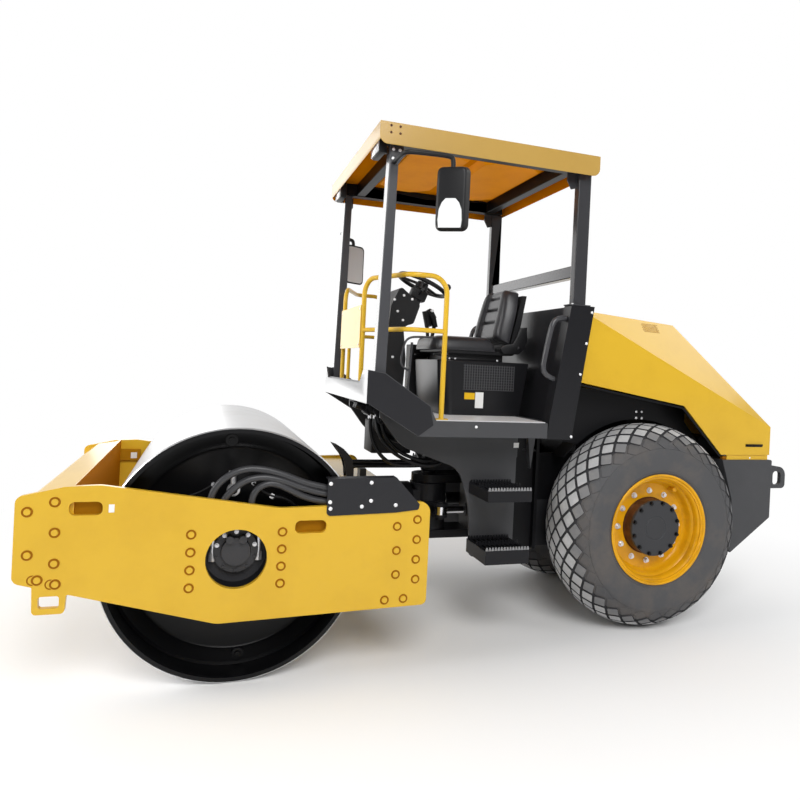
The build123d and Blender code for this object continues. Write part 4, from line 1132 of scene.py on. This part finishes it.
labelSetup = [
    # name, finish, slot, low and high X, low and high Z, the face that it lies on
    ("podLabelYellow", yellowLabel, "yellow_paint", (1.082, 1.150), (1.368, 1.408), podFace),
    ("podLabelWhite", whiteLabel, "light_grey_paint", (1.024, 1.078), (1.315, 1.413), podFace),
    ("noseLabel", whiteLabel, "light_grey_paint", (0.838, 0.872), (1.090, 1.120), 0.450),
]
for name, look, slotName, xs, zs, y in labelSetup:
    bm = bmesh.new()
    addBox(bm, (backAxle + xs[0], y - 0.0005, zs[0]), (backAxle + xs[1], y + 0.0012, zs[1]))
    makePiece(name, bm, [look], "rear_frame", 25)
bm = bmesh.new()
addBox(bm, atDrum(0.530, 0.9095, 0.842), atDrum(0.553, 0.9112, 0.878))
addBox(bm, atDrum(0.590, -0.8565, 0.838), atDrum(0.628, -0.8548, 0.878))
makePiece("plateLabel", bm, [whiteLabel], "front_frame", 25)


frameScrews = {
    # place beside the machine's side, from the rear axle
    0.690: [(0.519, 1.922), (0.546, 1.737), (0.577, 1.554), (0.618, 1.186)],
    0.450: [(0.014, 1.331), (-0.027, 1.331), (0.013, 1.290), (-0.029, 1.290)],
    0.676: [(1.764, 2.705), (1.728, 2.704), (1.765, 2.657)],
    0.720: [(1.230, 1.235)],
}


noseSide = [(1.480, 1.240), (1.560, 1.181), (1.852, 1.354), (1.852, 1.520), (1.762, 1.508), (1.502, 1.339)]
wellRib = [(0.792, 1.156), (0.768, 0.967), (0.744, 1.157)]
headPlate = [(1.708, 2.738), (1.781, 2.738), (1.779, 2.632), (1.738, 2.622), (1.708, 2.672)]
gusset = [(0.640, 2.738), (0.700, 2.738), (0.700, 2.690), (0.672, 2.640), (0.640, 2.650)]


def makeFrameScrews():
    bm = bmesh.new()
    for side in (-1, 1):
        addSideBox(bm, side, atRear(0.530, 0.605, 1.9568), atRear(0.664, 0.692, 1.9638), 0.002)
        # head plates on the front posts and gussets behind the rear ones
        addPlate(bm, fromAxle(headPlate), side * 0.670, side * 0.006)
        addPlate(bm, fromAxle(gusset), side * 0.640, side * 0.006)
    makePiece("postPlates", bm, [rearPostGrey], "rear_frame", 30)
    # darker folded sides of the floor's nose
    bm = bmesh.new()
    for side in (-1, 1):
        addPlate(bm, fromAxle(noseSide), side * 0.7198, side * 0.002)
    makePiece("noseSides", bm, [bumperGrey], "rear_frame", 30)
    bm = bmesh.new()
    for side in (-1, 1):
        addPlate(bm, fromAxle(wellRib), side * 0.440, side * 0.042)
    makePiece("wellRibs", bm, [frameGrey], "rear_frame", 30)
    bm = bmesh.new()
    for side in (-1, 1):
        for y, rows in frameScrews.items():
            for x, z in rows:
                addScrew(bm, atRear(x, side * y, z), (0, side, 0), 0.008)
        addScrew(bm, atRear(0.650, side * 0.685, 1.9638), (0, 0, 1), 0.008)
    for y in (-0.270, 0.270):
        for z in (1.668, 1.876):
            addScrew(bm, atRear(1.819, y, z), (1, 0, 0), 0.006)
    makePiece("frameScrews", bm, [whiteZinc], "rear_frame", 25)


makeFrameScrews()

handleSetup = {"route": [(0.640, 1.880), (0.700, 1.880), (0.742, 1.862), (0.762, 1.800), (0.792, 1.640),
                         (0.800, 1.575), (0.775, 1.535), (0.712, 1.516)], "radius": 0.016, "y": 0.645}
for side, hand in ((1, "Left"), (-1, "Right")):
    makeHose(f"grabHandle{hand}", flatRoute(handleSetup["route"], side * handleSetup["y"]),
             handleSetup["radius"], handleGrey, "rear_frame",
             replaced=("grab_handles",) if side == 1 else ())

toothSetup = {"levels": (0.882, 0.550), "count": 15, "height": 0.019, "y": (0.452, 0.748),
              "x": (0.882, 1.150)}


def makeStepTeeth():
    s = toothSetup
    bm = bmesh.new()
    for side in (-1, 1):
        for level in s["levels"]:
            # the outer row of teeth is light grey as painted light, the inner rows dark
            for y in (s["y"][1] - 0.003, s["y"][0] + 0.012, (s["y"][0] + s["y"][1]) / 2):
                pitch = (s["x"][1] - s["x"][0]) / s["count"]
                for i in range(s["count"]):
                    x = backAxle + s["x"][0] + i * pitch
                    addPlate(bm, [(x, level - 0.004), (x + pitch, level - 0.004),
                                  (x + pitch * 0.72, level + s["height"]),
                                  (x + pitch * 0.28, level + s["height"])], side * y - 0.002, 0.004,
                             0 if y > 0.7 else 1)
            for i in range(9):
                x = backAxle + s["x"][0] + 0.012 + i * 0.0295
                addSideBox(bm, side, (x, s["y"][0], level - 0.012),
                           (x + 0.005, s["y"][1] - 0.004, level - 0.001),
                           look=1)
    makePiece("stepTeeth", bm, [toothLitGrey, stepGrey], "rear_frame", 25, False)


makeStepTeeth()
print("platform ready")


# ---- canopy ----

canopySetup = {
    "underside": 2.8238, "panels": ((0.725, 1.150), (1.200, 1.620)), "half": 0.515, "corner": 0.11,
    "drop": 0.034,
    "bolts": ((1.796, 2.810), (1.746, 2.810), (1.795, 2.774), (1.745, 2.774)),
}


def makeCanopyTrim():
    # pressed panels with cut corners under the roof skin, in deep orange as painted shade
    s = canopySetup
    bm = bmesh.new()
    for low, high in s["panels"]:
        rings = []
        for inset, z in ((0.0, s["underside"]), (0.032, s["underside"] - s["drop"])):
            x0, x1, y1, cut = backAxle + low + inset, backAxle + high - inset, s["half"] - inset, s["corner"]
            outline = [(x0 + cut, -y1), (x1 - cut, -y1), (x1, cut - y1), (x1, y1 - cut), (x1 - cut, y1),
                       (x0 + cut, y1), (x0, y1 - cut), (x0, cut - y1)]
            rings.append([bm.verts.new((x, y, z)) for x, y in outline])
        for i in range(8):
            j = (i + 1) % 8
            bm.faces.new((rings[0][i], rings[0][j], rings[1][j], rings[1][i]))
        for ring in rings:
            bm.faces.new(ring)
    makePiece("canopyPanels", bm, [roofPressedShade], "rear_frame", 20)
    bm = bmesh.new()
    for side in (-1, 1):
        for x, z in s["bolts"]:
            addScrew(bm, atRear(x, side * 0.733, z), (0, side, 0), 0.0065)
    makePiece("canopyBolts", bm, [hubBrown], "rear_frame", 25)


makeCanopyTrim()

lampSize = {"width": 0.180, "depth": 0.040, "y": 0.560, "z": (2.690, 2.790), "x": 1.795}


def makeWorkLamps():
    s = lampSize
    bm = bmesh.new()
    x0 = backAxle + s["x"]
    for side in (-1, 1):
        y0, y1 = side * s["y"] - s["width"] / 2, side * s["y"] + s["width"] / 2
        addBox(bm, (x0, y0, s["z"][0]), (x0 + s["depth"], y1, s["z"][1]), 0.008, look=1)
        addBox(bm, (x0 + s["depth"], y0 + 0.006, s["z"][0] + 0.006),
               (x0 + s["depth"] + 0.007, y1 - 0.006, s["z"][1] - 0.006),
               0.002)
        addBox(bm, (backAxle + 1.790, side * 0.630 - 0.014, s["z"][0]),
               (backAxle + 1.800, side * 0.630 + 0.014, s["z"][1]),
               look=1)
    piece = makePiece("workLamps", bm, [lampLens, plastic], "rear_frame", 30, False)
    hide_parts("work_lamps")


makeWorkLamps()
print("canopy ready")


# ---- hood ----

hoodSetup = {
    "vents": (-0.134, 0.022, 1.846, 1.904), "slot": (-0.884, -0.742, 1.137), "strip": (-0.935, -0.572),
    "seal": [(0.520, 1.497), (-0.243, 1.375), (-0.549, 1.066), (-0.536, 1.064), (-0.234, 1.366),
             (0.522, 1.486)],
}


def makeHoodTrim():
    s = hoodSetup
    low, high, z = s["slot"]
    bm = bmesh.new()
    for side in (-1, 1):
        addSideBox(bm, side, atRear(low, 0.598, z - 0.009), atRear(high, 0.6012, z + 0.009), 0.0008)
        addSideBox(bm, side, atRear(low + 0.004, 0.598, z + 0.002), atRear(high - 0.004, 0.612, z + 0.009),
                   0.003)
    makePiece("hoodHandles", bm, [deepBlack], "hood", 30)
    # rubber strip along the lower edge
    bm = bmesh.new()
    for side in (-1, 1):
        addPlate(bm, fromAxle(s["seal"]), side * 0.588 - 0.006, 0.012)
    makePiece("hoodSeals", bm, [deepBlack], "hood", 30)
    # slits on the sloped upper sides, laid on the hood's own faces, in dark ochre as painted shade
    bm = bmesh.new()
    hood = frame["nodes"]["hood"].data
    x0, x1, z0, z1 = s["vents"]
    for side in (-1, 1):
        flat = [f for f in hood.polygons if side * f.normal.y > 0.35 and f.normal.z > 0.25 and f.area > 0.01]
        face = max(flat, key=lambda f: f.area)
        normal, spot = face.normal, face.center
        rows, columns = 7, 9
        for i in range(columns):
            for j in range(rows):
                x = backAxle + x0 + (x1 - x0) * (i + 0.5 * (j % 2) + 0.25) / columns
                z = z0 + (z1 - z0) * (j + 0.5) / rows
                y = spot.y - (normal.x * (x - spot.x) + normal.z * (z - spot.z)) / normal.y
                ahead = Vector((1, 0, 0)) - normal * normal.x
                ahead.normalize()
                rise = normal.cross(ahead) * side
                corners = [(-0.0065, -0.0022), (0.0065, -0.0022), (0.0065, 0.0022), (-0.0065, 0.0022)]
                base = Vector((x, y, z)) + normal * 0.0006
                bm.faces.new([bm.verts.new(base + ahead * a + rise * b) for a, b in corners])
    grown = bmesh.ops.extrude_face_region(bm, geom=bm.faces[:])
    for v in (v for v in grown["geom"] if isinstance(v, bmesh.types.BMVert)):
        v.co.y -= math.copysign(0.0012, v.co.y)
    makePiece("hoodVents", bm, [ochreAndGrooveShade], "hood", 30, False)
    # foam strip on the tail under the closed hood
    bm = bmesh.new()
    low, high = s["strip"]
    for side in (-1, 1):
        addSideBox(bm, side, atRear(low, 0.560, 1.0415), atRear(high, 0.588, 1.064), 0.002)
    makePiece("tailStrips", bm, [ochreAndGrooveShade], "rear_frame", 30)
    bm = bmesh.new()
    for side in (-1, 1):
        addScrew(bm, atRear(-0.790, side * 0.588, 1.054), (0, side, 0), 0.008)
    makePiece("stripScrews", bm, [whiteZinc], "rear_frame", 30)


makeHoodTrim()
print("hood ready")


# ---- mirrors and controls ----

mirrorOut = 0.858
mirrorSetup = [
    # hand, side, x, z low, z high, arm root
    ("Left", 1, 1.485, 2.271, 2.610, (1.756, 0.670, 2.640)),
    ("Right", -1, 1.655, 2.145, 2.430, (1.758, -0.670, 2.500)),
]


def makeMirror(hand, side, x, low, high, root):
    centre = Vector(atRear(x, side * mirrorOut, (low + high) / 2))
    bm = bmesh.new()
    grown = bmesh.ops.create_cube(bm, size=1, matrix=Matrix.Diagonal((0.178, 0.054, high - low, 1)))
    upright = [e for e in bm.edges if abs((e.verts[0].co - e.verts[1].co).y) > 0.04]
    bmesh.ops.bevel(bm, geom=upright, offset=0.034, segments=5, profile=0.5, affect="EDGES", material=-1)
    back = [v for v in bm.verts if v.co.y > 0]
    bmesh.ops.scale(bm, vec=(0.86, 1, 0.92), verts=back)
    rim = [e for e in bm.edges if all(v.co.y > 0.02 for v in e.verts)]
    bmesh.ops.bevel(bm, geom=rim, offset=0.012, segments=3, profile=0.5, affect="EDGES", material=-1)
    turn = Matrix.Rotation(math.radians(-side * 32) + (math.pi if side < 0 else 0.0), 4, "Z")
    bmesh.ops.transform(bm, matrix=Matrix.Translation(centre) @ turn, verts=bm.verts)
    piece = makePiece(f"mirrorCase{hand}", bm, [plastic], "rear_frame", 40)
    if side > 0:
        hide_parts("mirrors")
    bm = bmesh.new()
    bmesh.ops.create_cube(bm, size=1, matrix=Matrix.Translation((0, -0.0275, 0)) @ Matrix.Diagonal(
        (0.158, 0.003, high - low - 0.022, 1)))
    upright = [e for e in bm.edges if abs((e.verts[0].co - e.verts[1].co).y) > 0.002]
    bmesh.ops.bevel(bm, geom=upright, offset=0.028, segments=5, profile=0.5, affect="EDGES", material=-1)
    bmesh.ops.transform(bm, matrix=Matrix.Translation(centre) @ turn, verts=bm.verts)
    makePiece(f"mirrorGlass{hand}", bm, [mirrorGlass], "rear_frame", 40)
    if side > 0:
        # second pane, low on the outer face, also white as painted reflection
        bm = bmesh.new()
        rows = [(-0.060, -0.160), (0.060, -0.160), (0.064, -0.120), (0.060, -0.066), (0.046, -0.030),
                (0.026, -0.008), (-0.026, -0.008), (-0.046, -0.030), (-0.060, -0.066), (-0.064, -0.120)]
        addPlate(bm, rows, 0.0255, 0.0045)
        bmesh.ops.transform(bm, matrix=Matrix.Translation(centre) @ turn, verts=bm.verts)
        makePiece(f"mirrorLowPane{hand}", bm, [mirrorGlass], "rear_frame", 30)
    across = backAxle + root[0]
    route = [(across, root[1] - side * 0.004, root[2]), (across, side * 0.780, root[2] + 0.002),
             (across - 0.012, side * 0.852, root[2] + 0.006),
             (across - 0.060, side * mirrorOut, root[2] + 0.010),
             atRear(x + 0.060, side * mirrorOut, high + 0.046),
             atRear(x + 0.012, side * mirrorOut, high + 0.044),
             atRear(x, side * mirrorOut, high + 0.028), atRear(x, side * mirrorOut, high - 0.010)]
    makeHose(f"mirrorArm{hand}", route, 0.0125, plastic, "rear_frame")


for row in mirrorSetup:
    makeMirror(*row)


leverSetup = {"foot": (1.176, -0.360, 1.700), "knee": (1.150, -0.360, 1.850), "neck": (1.166, -0.360, 1.900),
              "tip": (1.196, -0.360, 1.945),
              "floorRod": [(1.330, 1.738), (1.447, 1.738), (1.500, 1.724), (1.524, 1.680), (1.536, 1.600),
                           (1.532, 1.556), (1.500, 1.532), (1.471, 1.525)],
              "floorUpright": [(1.471, 1.700), (1.474, 1.600), (1.486, 1.420), (1.490, 1.290)]}


def makeLever():
    # gaiter, shank and a grip bent forward, with a button on top
    foot, knee, neck, tip = [Vector(atRear(*leverSetup[k])) for k in ("foot", "knee", "neck", "tip")]
    bm = bmesh.new()
    addRod(bm, foot, foot.lerp(knee, 0.25), 0.036, 24, 0.018)
    addRod(bm, foot.lerp(knee, 0.2), knee, 0.013, 16)
    addRod(bm, knee - (neck - knee) * 0.3, neck, 0.020, 20, 0.024)
    addRod(bm, neck - (tip - neck) * 0.2, tip, 0.026, 20, 0.030)
    addRod(bm, tip, tip + (tip - neck) * 0.25, 0.030, 20, 0.016)
    makePiece("travelLever", bm, [plastic], "rear_frame", 40, False)
    bm = bmesh.new()
    addRod(bm, tip + Vector((-0.012, 0.020, 0.0)), tip + Vector((-0.016, 0.036, 0.004)), 0.010, 16)
    makePiece("leverButton", bm, [whiteZinc], "rear_frame", 40)
    # thin bent rod and upright beside the console
    for name, radius in (("floorRod", 0.007), ("floorUpright", 0.008)):
        makeHose(name, flatRoute(leverSetup[name], 0.200), radius, postGrey, "rear_frame")


makeLever()
print("controls ready")
